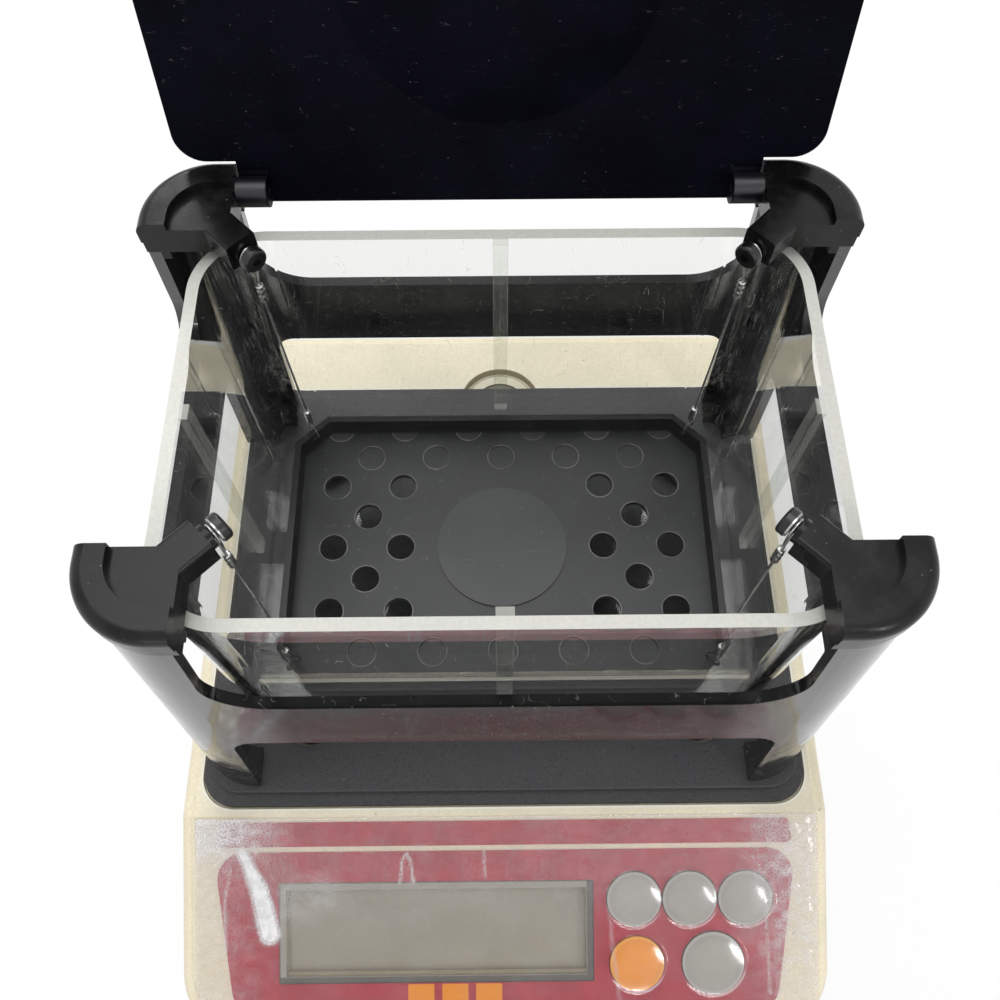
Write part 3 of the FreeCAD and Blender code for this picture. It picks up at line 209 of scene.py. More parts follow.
class Finish:
    """A node material in the making. Each call adds nodes and gives back a socket."""

    def __init__(self, name):
        self.material = bpy.data.materials.new(name)
        self.material.use_nodes = True
        self.tree = self.material.node_tree
        self.tree.nodes.clear()
        coordinates = self.tree.nodes.new("ShaderNodeTexCoord")
        self.place = coordinates.outputs["Object"]
        self.normal = coordinates.outputs["Normal"]

    def put(self, socket, value):
        if isinstance(value, bpy.types.NodeSocket):
            self.tree.links.new(value, socket)
        elif socket.type == "RGBA":
            socket.default_value = (*tuple(value)[:3], 1.0)
        else:
            socket.default_value = value

    def add(self, kind, inputs, output=0, **settings):
        """A node with its settings, its inputs by name or number, and one of its outputs."""
        node = self.tree.nodes.new(kind)
        for name, value in settings.items():
            setattr(node, name, value)
        for name, value in inputs.items():
            self.put(node.inputs[name], value)
        return node.outputs[output]

    def calc(self, operation, *values):
        return self.add("ShaderNodeMath", dict(enumerate(values)), operation=operation)

    def times(self, product, *values):
        """The product of all values."""
        for value in values:
            product = self.calc("MULTIPLY", product, value)
        return product

    def most(self, largest, *values):
        """The largest of all values."""
        for value in values:
            largest = self.calc("MAXIMUM", largest, value)
        return largest

    def vector(self, operation, *values):
        output = "Value" if operation == "LENGTH" else "Vector"
        inputs = dict(enumerate(values))
        return self.add("ShaderNodeVectorMath", inputs, output, operation=operation)

    def part(self, vector, axis):
        """One of a vector's numbers, by the letter of its axis."""
        return self.add("ShaderNodeSeparateXYZ", {0: vector}, axis)

    def reach(self, place, centre, axes=(1, 1, 0)):
        """Distance from a centre, counted along the given axes only."""
        away = self.vector("SUBTRACT", place, centre)
        return self.vector("LENGTH", self.vector("MULTIPLY", away, axes))

    def away(self, centre, place=None):
        """How far a point lies from a centre in plan, along each axis on its own."""
        place = self.place if place is None else place
        return self.vector("ABSOLUTE", self.vector("SUBTRACT", place, (*centre, 0.0)))

    def aside(self):
        """How far a point lies to the left or right of the object's middle."""
        return self.calc("ABSOLUTE", self.part(self.place, "X"))

    def step(self, value, low, high, first=0.0, last=1.0):
        """first below low, last above high, and a smooth change between them."""
        inputs = {0: value, 1: low, 2: high, 3: first, 4: last}
        return self.add("ShaderNodeMapRange", inputs, interpolation_type="SMOOTHSTEP")

    def line(self, value, middle, near, far, strength=1.0):
        """strength up to near from the middle value on both sides, and 0 from far on."""
        away = self.calc("ABSOLUTE", self.calc("SUBTRACT", value, middle))
        return self.step(away, near, far, strength, 0.0)

    def mix(self, share, first, second):
        """Two colours mixed by share."""
        inputs = {0: share, 6: first, 7: second}
        return self.add(
            "ShaderNodeMix", inputs, 2, data_type="RGBA", blend_type="MIX", clamp_factor=True
        )

    def shades(self, share, base_colour, first, last):
        """A colour that is made lighter or darker by a first and a last factor."""
        return self.mix(share, grown(base_colour, first), grown(base_colour, last))

    def over(self, base, *layers):
        """A base colour under layers, each given as the share that it covers and its colour."""
        for share, layer_colour in layers:
            base = self.mix(share, base, layer_colour)
        return base

    def noise(self, size, detail=3.0, rough=0.55, stretch=None, warp=0.0):
        """Soft noise with features of about the given size."""
        place = self.place
        if stretch is not None:
            place = self.vector("MULTIPLY", place, stretch)
        inputs = {"Vector": place, "Scale": 1 / size, "Detail": detail, "Roughness": rough}
        return self.add("ShaderNodeTexNoise", {**inputs, "Distortion": warp})

    def patches(self, size, low, high, first=0.0, last=1.0, detail=3.0):
        """Patches of about the given size: first, last and smooth changes between them."""
        return self.step(self.noise(size, detail), low, high, first, last)

    def cells(self, size, feature="F1", output="Distance"):
        """Cells of about the given size: distance from their middles or edges, or a colour."""
        inputs = {"Vector": self.place, "Scale": 1 / size}
        return self.add("ShaderNodeTexVoronoi", inputs, output, feature=feature)

    def specks(self, size, reach, share):
        """Round flecks at the middles of some of the cells, reach times a cell wide."""
        near = self.step(self.cells(size), reach * 0.6, reach, 1.0, 0.0)
        chance = self.part(self.cells(size, output="Color"), "X")
        return self.times(near, self.step(chance, share, share * 0.9))

    def hairlines(self, size, width, stretch=None, least=0.56):
        """Thin broken lines where a noise passes its middle value and another one is high."""
        line = self.line(self.noise(size, 1.5, 0.4, stretch), 0.5, 0.0, width)
        broken = self.step(self.noise(size * 0.45, 2.0), least, least + 0.06)
        return self.times(line, broken)

    def wear(self, flecks, lines, strength):
        """Flecks, and hairlines at the given strength, each with what its own call takes."""
        return self.most(self.specks(*flecks), self.times(self.hairlines(*lines), strength))

    def relief(self, height, depth, under=None):
        """A bumped normal of the given depth, over another one if given."""
        inputs = {"Height": height, "Distance": depth, "Strength": 1.0}
        if under is not None:
            inputs["Normal"] = under
        return self.add("ShaderNodeBump", inputs)

    def surface(self, base, rough, specular, **inputs):
        """The main shader. The other inputs' names are written with lines for spaces."""
        named = {name.replace("_", " "): value for name, value in inputs.items()}
        named.update({"Base Color": base, "Roughness": rough, "Specular IOR Level": specular})
        return self.add("ShaderNodeBsdfPrincipled", named)

    def clear(self, tint):
        return self.add("ShaderNodeBsdfTransparent", {"Color": tint})

    def gloss(self, rough, **inputs):
        inputs = {"Color": (1, 1, 1), "Roughness": rough, **inputs}
        return self.add("ShaderNodeBsdfGlossy", inputs)

    def fresnel(self, index, **inputs):
        return self.add("ShaderNodeFresnel", {"IOR": index, **inputs})

    def layer(self, share, under, over):
        return self.add("ShaderNodeMixShader", {0: share, 1: under, 2: over})

    def rounded_box(self, centre, half, radius, place=None):
        """Distance in plan outside a rectangle with round corners, negative inside it."""
        straight = (half[0] - radius, half[1] - radius, 0.0)
        past = self.vector("SUBTRACT", self.away(centre, place), straight)
        outside = self.vector("MAXIMUM", self.vector("MULTIPLY", past, (1, 1, 0)), (0, 0, 0))
        inside = self.calc("MAXIMUM", self.part(past, "X"), self.part(past, "Y"))
        reach = self.calc("ADD", self.vector("LENGTH", outside), self.calc("MINIMUM", inside, 0.0))
        return self.calc("SUBTRACT", reach, radius)

    def panel_place(self):
        """The place on the sloping panel: x, the negative of u, and the height over it."""
        moved = self.vector("SUBTRACT", self.place, CREASE)
        turn = {"Vector": moved, "Angle": -PANEL_SLOPE}
        return self.add("ShaderNodeVectorRotate", turn, rotation_type="X_AXIS")

    def done(self, shader):
        output = self.tree.nodes.new("ShaderNodeOutputMaterial")
        self.tree.links.new(shader, output.inputs["Surface"])
        return self.material

    def solid(self, base, rough, specular, normal, **inputs):
        """The finished material of something that light doesn't pass through."""
        return self.done(self.surface(base, rough, specular, Normal=normal, **inputs))


def grown(colour_value, factor):
    """A colour made lighter or darker."""
    return tuple(min(1.0, part * factor) for part in tuple(colour_value)[:3])


def plan(name):
    """Middle and half the size of a CAD node's box, seen from above."""
    low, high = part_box(name)
    centre = ((low.x + high.x) / 2, (low.y + high.y) / 2)
    return centre, ((high.x - low.x) / 2, (high.y - low.y) / 2)


def paint(material, *names):
    """Puts a material on CAD nodes."""
    for name in names:
        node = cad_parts[name]
        if not node.material_slots:
            node.data.materials.append(material)
        for slot in node.material_slots:
            slot.material = material


def ivory_plastic(colours):
    """Aged ivory moulding: fine speckle and grain, soft stains, a painted highlight along the
    recess edge and a paler band near it.
    """
    look = Finish("ivory_plastic")
    centre, plate_half = plan("weighing_plate")
    recess_half = [side + RECESS_GAP for side in plate_half]
    from_recess = look.rounded_box(centre, recess_half, RECESS_CORNER_R)
    height = look.part(look.place, "Z")
    deck_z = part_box("housing_cover")[1].z
    on_deck = look.step(height, deck_z - 1.0 * MM, deck_z - 0.3 * MM)
    # A painted highlight: a bright line along the edge of the plate's recess
    edge = look.times(look.step(from_recess, 0.15 * MM, 0.75 * MM, 1.0, 0.0), on_deck)
    near_recess = look.times(look.step(from_recess, 0.8 * MM, 5.0 * MM, 0.22, 0.0), on_deck)
    speckle = look.step(look.noise(0.75 * MM, 2.0, 0.6), 0.36, 0.64)
    base = look.over(
        look.shades(look.patches(26 * MM, 0.35, 0.7, detail=4.0), colours.ivory, 1.03, 0.93),
        (look.times(speckle, 0.3), grown(colours.ivory, 0.72)),
        (near_recess, shade(252, 246, 226)),
        (look.times(edge, 0.9), shade(252, 250, 240)),
        (look.line(height, PARTING_Z, 0.1 * MM, 0.35 * MM, 0.75), shade(96, 84, 62)),
        (look.times(look.specks(5.0 * MM, 0.09, 0.35), 0.5), shade(140, 120, 88)),
    )
    rough = look.patches(3.0 * MM, 0.3, 0.7, 0.40, 0.52)
    grain = look.calc("ADD", look.noise(0.28 * MM, 2.0), speckle)
    return look.solid(base, rough, 0.45, look.relief(grain, 0.014 * MM))


def printed_overlay(colours, squares):
    """Maroon print on a satin sheet, faintly uneven, with rubbed spots and small squares."""
    look = Finish("maroon_overlay" if squares else "maroon_strip")
    where = look.panel_place()
    cloudy = look.noise(9 * MM, 4.0)
    fine = look.noise(0.35 * MM, 2.0)
    base = look.over(
        look.shades(look.step(cloudy, 0.3, 0.7), colours.maroon, 1.0, 1.28),
        (look.times(fine, 0.16), shade(186, 76, 92)),
        (look.step(look.part(where, "X"), 10 * MM, 92 * MM, 0.0, 0.22), shade(188, 96, 106)),
        (look.times(look.hairlines(7 * MM, 0.012, (1, 3, 3)), 0.25), shade(206, 140, 150)),
    )
    if squares:
        nearest = None
        for x in SQUARES_X:
            square = look.rounded_box((x, -SQUARES_U), (3.85 * MM, 4.0 * MM), 0.3 * MM, where)
            nearest = square if nearest is None else look.calc("MINIMUM", nearest, square)
        warm = look.shades(look.noise(2 * MM), colours.label, 1.0, 0.88)
        base = look.mix(look.step(nearest, 0.0, 0.12 * MM, 1.0, 0.0), base, warm)
    rough = look.step(cloudy, 0.3, 0.7, 0.34, 0.46)
    return look.solid(base, rough, 0.4, look.relief(fine, 0.006 * MM))


def worn_film_with_glare():
    """Clear film that is glossy, and milky white where its own attribute of milkiness says so;
    that white is partly milky wear and partly painted glare.
    """
    look = Finish("worn_film_with_glare")
    haze = look.add("ShaderNodeAttribute", {}, "Fac", attribute_name="haze")
    veins = look.step(look.cells(0.9 * MM, "DISTANCE_TO_EDGE"), 0.0, 0.3, 1.0, 0.55)
    grit = look.step(look.noise(0.3 * MM, 3.0, 0.75), 0.40, 0.58, 0.25, 1.0)
    cloud = look.patches(3.5 * MM, 0.32, 0.66, 0.7, 1.0)
    milk_and_glare = look.times(look.calc("MINIMUM", haze, 1.0), veins, grit, cloud)
    # Past 1, along the painted glare streak, the film turns solid white
    solid = look.step(look.calc("MULTIPLY_ADD", grit, 0.3, haze), 1.0, 2.0)
    scratch = look.times(look.hairlines(5 * MM, 0.006), 0.16)
    share = look.most(milk_and_glare, look.times(solid, cloud, 0.97), scratch)
    milky_and_glare_white = look.surface((0.95, 0.94, 0.95), look.step(grit, 0.3, 1.0, 0.25, 0.5), 0.6)
    body = look.layer(share, look.clear((0.99, 0.985, 0.99)), milky_and_glare_white)
    ripple = look.relief(look.noise(1.6 * MM, 2.0), 0.02 * MM)
    shine = look.times(look.fresnel(1.4, Normal=ripple), 0.55)
    return look.done(look.layer(shine, body, look.gloss(0.11, Normal=ripple)))


def display_glass(colours):
    """Grey-green liquid crystal glass with a rim darkened by painted shade, and dust."""
    look = Finish("display_glass")
    where = look.panel_place()
    cloudy = look.noise(14 * MM, 3.0)
    (middle_x, _), _ = plan("lcd_glass")
    inside = look.rounded_box((middle_x, -DISPLAY_U), (45.0 * MM, 13.0 * MM), 1.0 * MM, where)
    base = look.over(
        look.shades(cloudy, colours.display, 1.1, 0.92),
        # Painted shade: the glass darkens towards its rim, under the window's edge
        (look.step(inside, -1.5 * MM, 0.2 * MM, 0.0, 0.35), shade(92, 92, 84)),
        (look.times(look.specks(4 * MM, 0.06, 0.3), 0.4), shade(205, 205, 198)),
    )
    rough = look.step(cloudy, 0.3, 0.7, 0.16, 0.3)
    return look.done(look.surface(base, rough, 0.3))


def display_window(colours):
    """Clear hard window: mostly see-through, with a faint grey tint and fine scratches, and a
    border painted like the display, with painted shade at its right and bottom.
    """
    look = Finish("display_window")
    where = look.panel_place()
    (middle_x, _), (half_w, _) = plan("lcd_window")
    centre = (middle_x, -DISPLAY_U)
    from_edge = look.rounded_box(centre, (half_w, 15.0 * MM), 0.2 * MM, where)
    ledge = look.step(from_edge, -2.2 * MM, -1.9 * MM)
    across = look.calc("SUBTRACT", look.part(where, "X"), middle_x)
    right = look.step(across, half_w - 2.2 * MM, half_w - 1.8 * MM)
    down = look.step(look.part(where, "Y"), -48.3 * MM, -47.9 * MM, 1.0, 0.0)
    scratch = look.times(look.hairlines(6 * MM, 0.005), 0.3)
    dust = look.times(look.specks(3.5 * MM, 0.07, 0.25), 0.5)
    tint = look.mix(look.noise(20 * MM), (0.985, 0.985, 0.98), (0.95, 0.95, 0.94))
    # The border in the display's colour, with painted shade along its right and bottom and a thin
    # dark line at its edge
    border_with_painted_shade = look.over(
        look.shades(look.most(right, down), colours.display, 0.66, 0.22),
        (look.step(from_edge, -0.5 * MM, -0.1 * MM, 0.0, 0.7), shade(60, 52, 50)),
    )
    base = look.mix(ledge, grown(colours.display, 1.5), border_with_painted_shade)
    shine = look.surface(base, look.patches(2 * MM, 0.3, 0.7, 0.06, 0.16), 0.3)
    share = look.most(scratch, dust, look.fresnel(1.25), ledge)
    return look.done(look.layer(share, look.clear(tint), shine))


def key_plastic(name, base_colour, x, u, radius):
    """Domed translucent key: a paler rim, a middle that looks softly lit because a band of painted
    shade darkens the key towards its rim, and faint rub marks.
    """
    look = Finish(name)
    flat = look.reach(look.panel_place(), (x, -u, 0.0))
    rim = look.step(flat, radius * 0.88, radius * 0.94)
    pale = tuple(part * 0.5 + 0.5 * part**0.5 for part in tuple(base_colour)[:3])
    base = look.over(
        look.shades(look.noise(5 * MM, 3.0), base_colour, 1.1, 0.9),
        # Painted shade: a darker band towards the rim, which makes the middle look lit
        (look.step(flat, radius * 0.66, radius * 0.9, 0.0, 0.3), grown(base_colour, 0.72)),
        (look.times(rim, 0.6), pale),
        (look.step(flat, radius * 0.985, radius * 1.0, 0.0, 0.4), grown(base_colour, 0.5)),
        (look.times(look.hairlines(3 * MM, 0.01), 0.3), pale),
    )
    rough = look.patches(1.5 * MM, 0.3, 0.7, 0.12, 0.24)
    normal = look.relief(look.noise(2.2 * MM), 0.01 * MM)
    return look.solid(base, rough, 0.5, normal, Coat_Weight=0.4, Coat_Roughness=0.08)


def grained_black(colours):
    """Black moulding with a leather grain whose creases are darkened by painted shade, worn a
    little pale on its high spots.
    """
    look = Finish("grained_black")
    crease = look.step(look.cells(0.62 * MM, "DISTANCE_TO_EDGE"), 0.0, 0.16)
    worn = look.patches(32 * MM, 0.38, 0.66, detail=4.0)
    dust = look.wear((2.6 * MM, 0.1, 0.2), (8 * MM, 0.004), 0.6)
    base = look.over(
        # Painted shade in the grain's creases
        look.shades(crease, colours.plate_black, 0.35, 1.0),
        (look.times(worn, crease, 0.4), shade(72, 72, 76)),
        (look.times(dust, 0.35), shade(130, 128, 124)),
    )
    rough = look.step(worn, 0.0, 1.0, 0.44, 0.56)
    height = look.calc("SUBTRACT", crease, look.times(look.cells(0.62 * MM), 0.6))
    height = look.calc("ADD", height, look.times(look.noise(0.22 * MM, 3.0), 0.3))
    return look.solid(base, rough, 0.42, look.relief(height, 0.035 * MM))


def gloss_black(colours):
    """Polished black moulding with dust, water marks near its feet and satin cut edges. The
    middle of its front wall is duller than the posts beside it."""
    look = Finish("gloss_black")
    upward = look.calc("ABSOLUTE", look.part(look.normal, "Z"))
    cut_edge = look.step(upward, 0.35, 0.7)
    marks = look.step(look.noise(11 * MM, 4.0, 0.65, (1, 1, 0.7), 1.2), 0.50, 0.58)
    low = look.step(look.part(look.place, "Z"), 48 * MM, 115 * MM, 1.0, 0.15)
    marks = look.times(marks, low)
    dust = look.wear((1.7 * MM, 0.16, 0.16), (6 * MM, 0.006, (1, 1, 4), 0.5), 0.8)
    base = look.over(
        colours.frame_black,
        (look.times(marks, 0.2), shade(60, 56, 54)),
        (look.times(dust, 0.42), shade(170, 168, 160)),
    )
    rough = look.patches(8 * MM, 0.35, 0.7, 0.07, 0.16, 4.0)
    rough = look.calc("ADD", rough, look.times(marks, 0.22))
    rough = look.most(rough, look.times(cut_edge, 0.34))
    bright = look.step(look.most(look.times(marks, 0.62), cut_edge), 0.0, 1.0, 0.95, 0.14)
    (_, middle_y), _ = plan("frame_wall")
    along = look.part(look.place, "Y")
    ahead = look.step(along, middle_y - 30 * MM, middle_y - 25 * MM, 1.0, 0.0)
    between_posts = look.step(look.aside(), 50 * MM, 70 * MM, 1.0, 0.0)
    band = look.times(ahead, between_posts)
    bright = look.times(bright, look.step(band, 0.0, 1.0, 1.0, 0.1))
    normal = look.relief(look.noise(38 * MM, 1.0), 0.22 * MM)
    return look.solid(base, rough, bright, normal, Coat_Weight=0.12, Coat_Roughness=0.05)


def satin_black(name, base_colour, grain, rough_low, rough_high, shine):
    """Satin black moulding: fine spark grain, handling marks and a few specks."""
    look = Finish(name)
    handled = look.patches(9 * MM, 0.35, 0.68, detail=4.0)
    specks = look.wear((1.9 * MM, 0.13, 0.14), (4 * MM, 0.006), 0.3)
    base = look.over(
        base_colour,
        (look.times(handled, 0.5), shade(40, 38, 38)),
        (look.times(specks, 0.3), shade(150, 150, 148)),
    )
    rough = look.step(handled, 0.0, 1.0, rough_low, rough_high)
    normal = look.relief(look.noise(grain, 3.0, 0.65), grain * 0.05)
    return look.solid(base, rough, shine, normal)


def lid_black(colours):
    """Black lid, faintly blue, with long fine scratches, rubbed arcs and dust, and with
    shinier knuckles round its hinge pins."""
    look = Finish("lid_black")
    handled = look.patches(24 * MM, 0.35, 0.68, detail=4.0)
    lines = look.most(
        look.times(look.hairlines(5 * MM, 0.005, (0.4, 1, 3)), 0.7),
        look.specks(2.6 * MM, 0.085, 0.2),
    )
    base = look.over(
        look.shades(handled, colours.lid_black, 1.0, 1.8),
        (look.times(lines, 0.4), shade(120, 120, 128)),
    )
    low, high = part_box("hinge_pins")
    hinge = (0.0, (low.y + high.y) / 2, (low.z + high.z) / 2)
    from_hinge = look.reach(look.place, hinge, (0, 1, 1))
    knuckle = look.times(
        look.step(from_hinge, KNUCKLE_R - 0.5 * MM, KNUCKLE_R + 0.5 * MM, 1.0, 0.0),
        look.step(look.aside(), KNUCKLE_X - 0.2 * MM, KNUCKLE_X + 0.2 * MM),
    )
    rough = look.step(handled, 0.0, 1.0, 0.3, 0.42)
    normal = look.relief(look.noise(0.3 * MM, 3.0, 0.6), 0.006 * MM)
    return look.solid(base, rough, look.step(knuckle, 0.0, 1.0, 0.02, 0.6), normal)


def lets_lamps_through(look, shader, tint):
    """The shader, made clear for shadow and diffuse rays so that lamps light what is behind."""
    path = look.tree.nodes.new("ShaderNodeLightPath").outputs
    passing = look.most(path["Is Shadow Ray"], path["Is Diffuse Ray"])
    return look.layer(passing, shader, look.clear(tint))


def clear_acrylic(colours):
    """Clear tank wall with a milky white rim, partly a sawn edge and partly painted highlight, and
    fine upright scratches at its corners.
    """
    look = Finish("clear_acrylic")
    rim_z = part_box("tank")[1].z
    height = look.part(look.place, "Z")
    upward = look.part(look.normal, "Z")
    rim = look.times(
        look.step(height, rim_z - 0.5 * MM, rim_z - 0.05 * MM), look.step(upward, 0.2, 0.6)
    )
    away = look.away(plan("tank")[0])
    corner = look.times(
        look.step(look.part(away, "X"), 54 * MM, 72 * MM),
        look.step(look.part(away, "Y"), 30 * MM, 48 * MM),
    )
    upright = look.step(look.noise(0.5 * MM, 3.0, 0.7, (1, 1, 0.07)), 0.52, 0.72)
    patchy = look.patches(9 * MM, 0.4, 0.65, detail=2.0)
    scratched = look.times(upright, corner, patchy, 0.3)
    fine = look.times(look.hairlines(12 * MM, 0.003, (1, 1, 0.35)), 0.3)
    # The rim's white is partly a milky sawn edge and partly painted highlight
    saw = look.step(look.noise(1.1 * MM, 3.0, 0.6), 0.3, 0.7)
    sawn_and_highlight = look.shades(saw, colours.sawn_edge_and_highlight, 1.0, 0.92)
    glass = look.surface(colours.acrylic, 0.0, 0.5, IOR=1.49, Transmission_Weight=1.0)
    glass = lets_lamps_through(look, glass, (0.97, 0.98, 0.975))
    share = look.most(look.times(rim, 0.86), scratched, fine)
    return look.done(look.layer(share, glass, look.surface(sawn_and_highlight, 0.55, 0.4)))


def strip_acrylic(colours):
    """Pale bars of acrylic with milky sawn edges."""
    look = Finish("strip_acrylic")
    streak = look.step(look.noise(1.1 * MM, 3.0, 0.6, (1, 1, 0.05)), 0.4, 0.8, 0.02, 0.09)
    low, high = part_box("tank_strips")
    height = look.part(look.place, "Z")
    ends = look.most(
        look.step(height, low.z + 0.2 * MM, low.z + 0.5 * MM, 0.5, 0.0),
        look.step(height, high.z - 0.5 * MM, high.z - 0.1 * MM),
    )
    away = look.away(plan("tank")[0])
    off_middle = look.calc("MINIMUM", look.part(away, "X"), look.part(away, "Y"))
    sides = look.step(off_middle, 1.8 * MM, 1.95 * MM, 0.0, 0.14)
    share = look.most(streak, look.times(ends, 0.4), sides)
    shine = look.times(look.fresnel(1.3), 0.25)
    body = look.layer(shine, look.clear(grown(colours.acrylic, 0.985)), look.gloss(0.04))
    return look.done(look.layer(share, body, look.surface(colours.sawn_edge_and_highlight, 0.5, 0.4)))


def tray_plastic(colours):
    """Dark grey tray with specks, a paler disc and fine pale rings of painted highlight on its
    holes' edges.
    """
    look = Finish("tray_plastic")
    centre = (*plan("tray")[0], 0.0)
    floor_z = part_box("tray")[1].z - TRAY_RIM_H
    height = look.part(look.place, "Z")
    moved = look.vector("SUBTRACT", look.place, centre)
    across, along = look.part(moved, "X"), look.part(moved, "Y")
    # Holes stand where row and column add up to an odd number, so their sum and difference
    # are odd too, and the nearest hole is at the odd numbers nearest to both
    nearest, squares, reaches = [], [], []
    for turned in (look.calc("ADD", across, along), look.calc("SUBTRACT", across, along)):
        count = look.calc("DIVIDE", turned, TRAY_PITCH)
        odd = look.calc("FLOOR", look.calc("DIVIDE", count, 2.0))
        odd = look.calc("MULTIPLY_ADD", odd, 2.0, 1.0)
        nearest.append(odd)
        squares.append(look.calc("POWER", look.calc("SUBTRACT", count, odd), 2.0))
        reaches.append(look.calc("POWER", odd, 2.0))
    from_hole = look.calc("SQRT", look.times(look.calc("ADD", *squares), 0.5))
    from_hole = look.times(from_hole, TRAY_PITCH)
    hole_reach = look.times(look.calc("ADD", *reaches), 0.5)
    column = look.times(look.calc("ABSOLUTE", look.calc("ADD", *nearest)), 0.5)
    row = look.times(look.calc("ABSOLUTE", look.calc("SUBTRACT", *nearest)), 0.5)
    real = look.times(
        look.step(hole_reach, 6.0, 7.0),
        look.step(column, 5.1, 5.4, 1.0, 0.0),
        look.line(height, floor_z, 0.2 * MM, 0.75 * MM),
    )
    side_light = look.patches(7 * MM, 0.35, 0.6, 0.25, 1.0, 1.0)
    # A painted highlight: fine pale rings on the holes' edges, patchy as if lit from one side
    ring = look.times(look.line(from_hole, TRAY_RING_R, 0.08 * MM, 0.26 * MM), real, side_light)
    in_hole = look.step(from_hole, TRAY_HOLE_R - 0.1 * MM, TRAY_HOLE_R, 1.0, 0.0)
    blind = look.times(look.step(row, 2.4, 2.6), in_hole, real)
    blotch = look.patches(18 * MM, 0.35, 0.7, detail=4.0)
    disc_low, disc_high = TRAY_DISC_R - 0.2 * MM, TRAY_DISC_R + 0.1 * MM
    disc = look.step(look.reach(look.place, centre), disc_low, disc_high, 0.35, 0.0)
    specks = look.wear((3.0 * MM, 0.09, 0.3), (9 * MM, 0.005), 0.6)
    base = look.over(
        look.shades(blotch, colours.tray_grey, 1.0, 1.35),
        (disc, shade(84, 85, 86)),
        (look.times(blind, 0.3), shade(98, 99, 98)),
        (look.times(ring, 0.4), shade(176, 176, 172)),
        (look.step(height, floor_z + 0.8 * MM, floor_z + 1.6 * MM, 0.0, 0.75), shade(20, 20, 22)),
        (look.times(specks, 0.4), shade(150, 150, 146)),
    )
    rough = look.step(blotch, 0.0, 1.0, 0.36, 0.48)
    return look.solid(base, rough, 0.35, look.relief(look.noise(0.4 * MM, 3.0), 0.012 * MM))


def bare_metal(name, base_colour, stretch, rough):
    """Bright metal with fine lines along the way it was drawn or turned."""
    look = Finish(name)
    lines = look.noise(0.35 * MM, 3.0, 0.7, stretch)
    base = look.shades(look.patches(4 * MM, 0.35, 0.7), base_colour, 1.0, 0.75)
    rough = look.step(lines, 0.3, 0.7, rough, rough + 0.14)
    return look.solid(base, rough, 0.5, look.relief(lines, 0.004 * MM), Metallic=1.0)


def circuit_board():
    """Green board with paler tracks, pale pads and a woven ground."""
    look = Finish("circuit_board")
    tracks = look.step(look.cells(5 * MM, "DISTANCE_TO_EDGE"), 0.03, 0.07, 1.0, 0.0)
    pads = look.specks(3.6 * MM, 0.22, 0.5)
    base = look.over(
        look.mix(look.noise(0.6 * MM, 2.0), shade(22, 84, 50), shade(16, 66, 40)),
        (look.times(tracks, 0.7), shade(34, 118, 70)),
        (pads, shade(196, 188, 160)),
    )
    rough = look.step(pads, 0.0, 1.0, 0.34, 0.22)
    return look.solid(base, rough, 0.5, look.relief(look.most(tracks, pads), 0.03 * MM))


def plain_plastic(name, base_colour, rough):
    """Moulded plastic or rubber with a fine grain, scuffs and a little dust."""
    look = Finish(name)
    grain = 0.45 * MM
    scuff = look.patches(6 * MM, 0.4, 0.68, detail=4.0)
    dust = look.times(look.specks(2.8 * MM, 0.1, 0.25), 0.35)
    base = look.mix(dust, look.shades(scuff, base_colour, 1.0, 1.45), shade(150, 148, 142))
    rough = look.step(scuff, 0.0, 1.0, rough, rough + 0.1)
    return look.solid(base, rough, 0.4, look.relief(look.noise(grain, 3.0, 0.6), grain * 0.06))


def level_plastic():
    """Pale ring of the bubble level, turned and a little yellowed."""
    look = Finish("level_plastic")
    radius = look.reach(look.place, (*plan("level_bezel")[0], 0.0))
    turned = look.calc("SINE", look.times(radius, 2 * math.pi / (0.7 * MM)))
    cloudy = look.noise(5 * MM, 3.0)
    edge = look.line(radius, 12.6 * MM, 0.1 * MM, 0.35 * MM, 0.8)
    base = look.mix(cloudy, shade(232, 226, 204), shade(206, 198, 170))
    base = look.mix(edge, base, shade(150, 140, 110))
    rough = look.step(cloudy, 0.3, 0.7, 0.28, 0.4)
    return look.solid(base, rough, 0.5, look.relief(turned, 0.006 * MM))


def level_liquid():
    """Level's vial: olive ring, target circle, beige middle and the bubble in its liquid."""
    look = Finish("level_liquid")
    centre = (*plan("level_vial")[0], 0.0)
    radius = look.reach(look.place, centre)
    from_centre = look.vector("SUBTRACT", look.place, centre)
    bubble = look.reach(from_centre, (2.4 * MM, 0.6 * MM, 0.0))
    cloudy = look.noise(3 * MM, 3.0)
    rim = look.line(bubble, 1.9 * MM, 0.1 * MM, 0.5 * MM)
    base = look.over(
        look.mix(cloudy, shade(214, 206, 176), shade(196, 190, 160)),
        (look.step(radius, 6.0 * MM, 7.6 * MM), shade(112, 110, 92)),
        (look.line(radius, 4.6 * MM, 0.12 * MM, 0.28 * MM), shade(54, 52, 46)),
        (look.times(rim, 0.8), shade(70, 68, 58)),
        (look.step(bubble, 0.6 * MM, 1.6 * MM, 0.7, 0.0), shade(246, 244, 232)),
    )
    rough = look.step(cloudy, 0.3, 0.7, 0.05, 0.12)
    dome = look.relief(look.step(radius, 0.0, 9.0 * MM, 1.0, 0.0), 0.8 * MM)
    rise = look.step(bubble, 0.2 * MM, 1.9 * MM, 1.0, 0.0)
    normal = look.relief(rise, 0.4 * MM, dome)
    return look.solid(base, rough, 0.5, normal, Coat_Weight=1.0, Coat_Roughness=0.03)


# Shapes


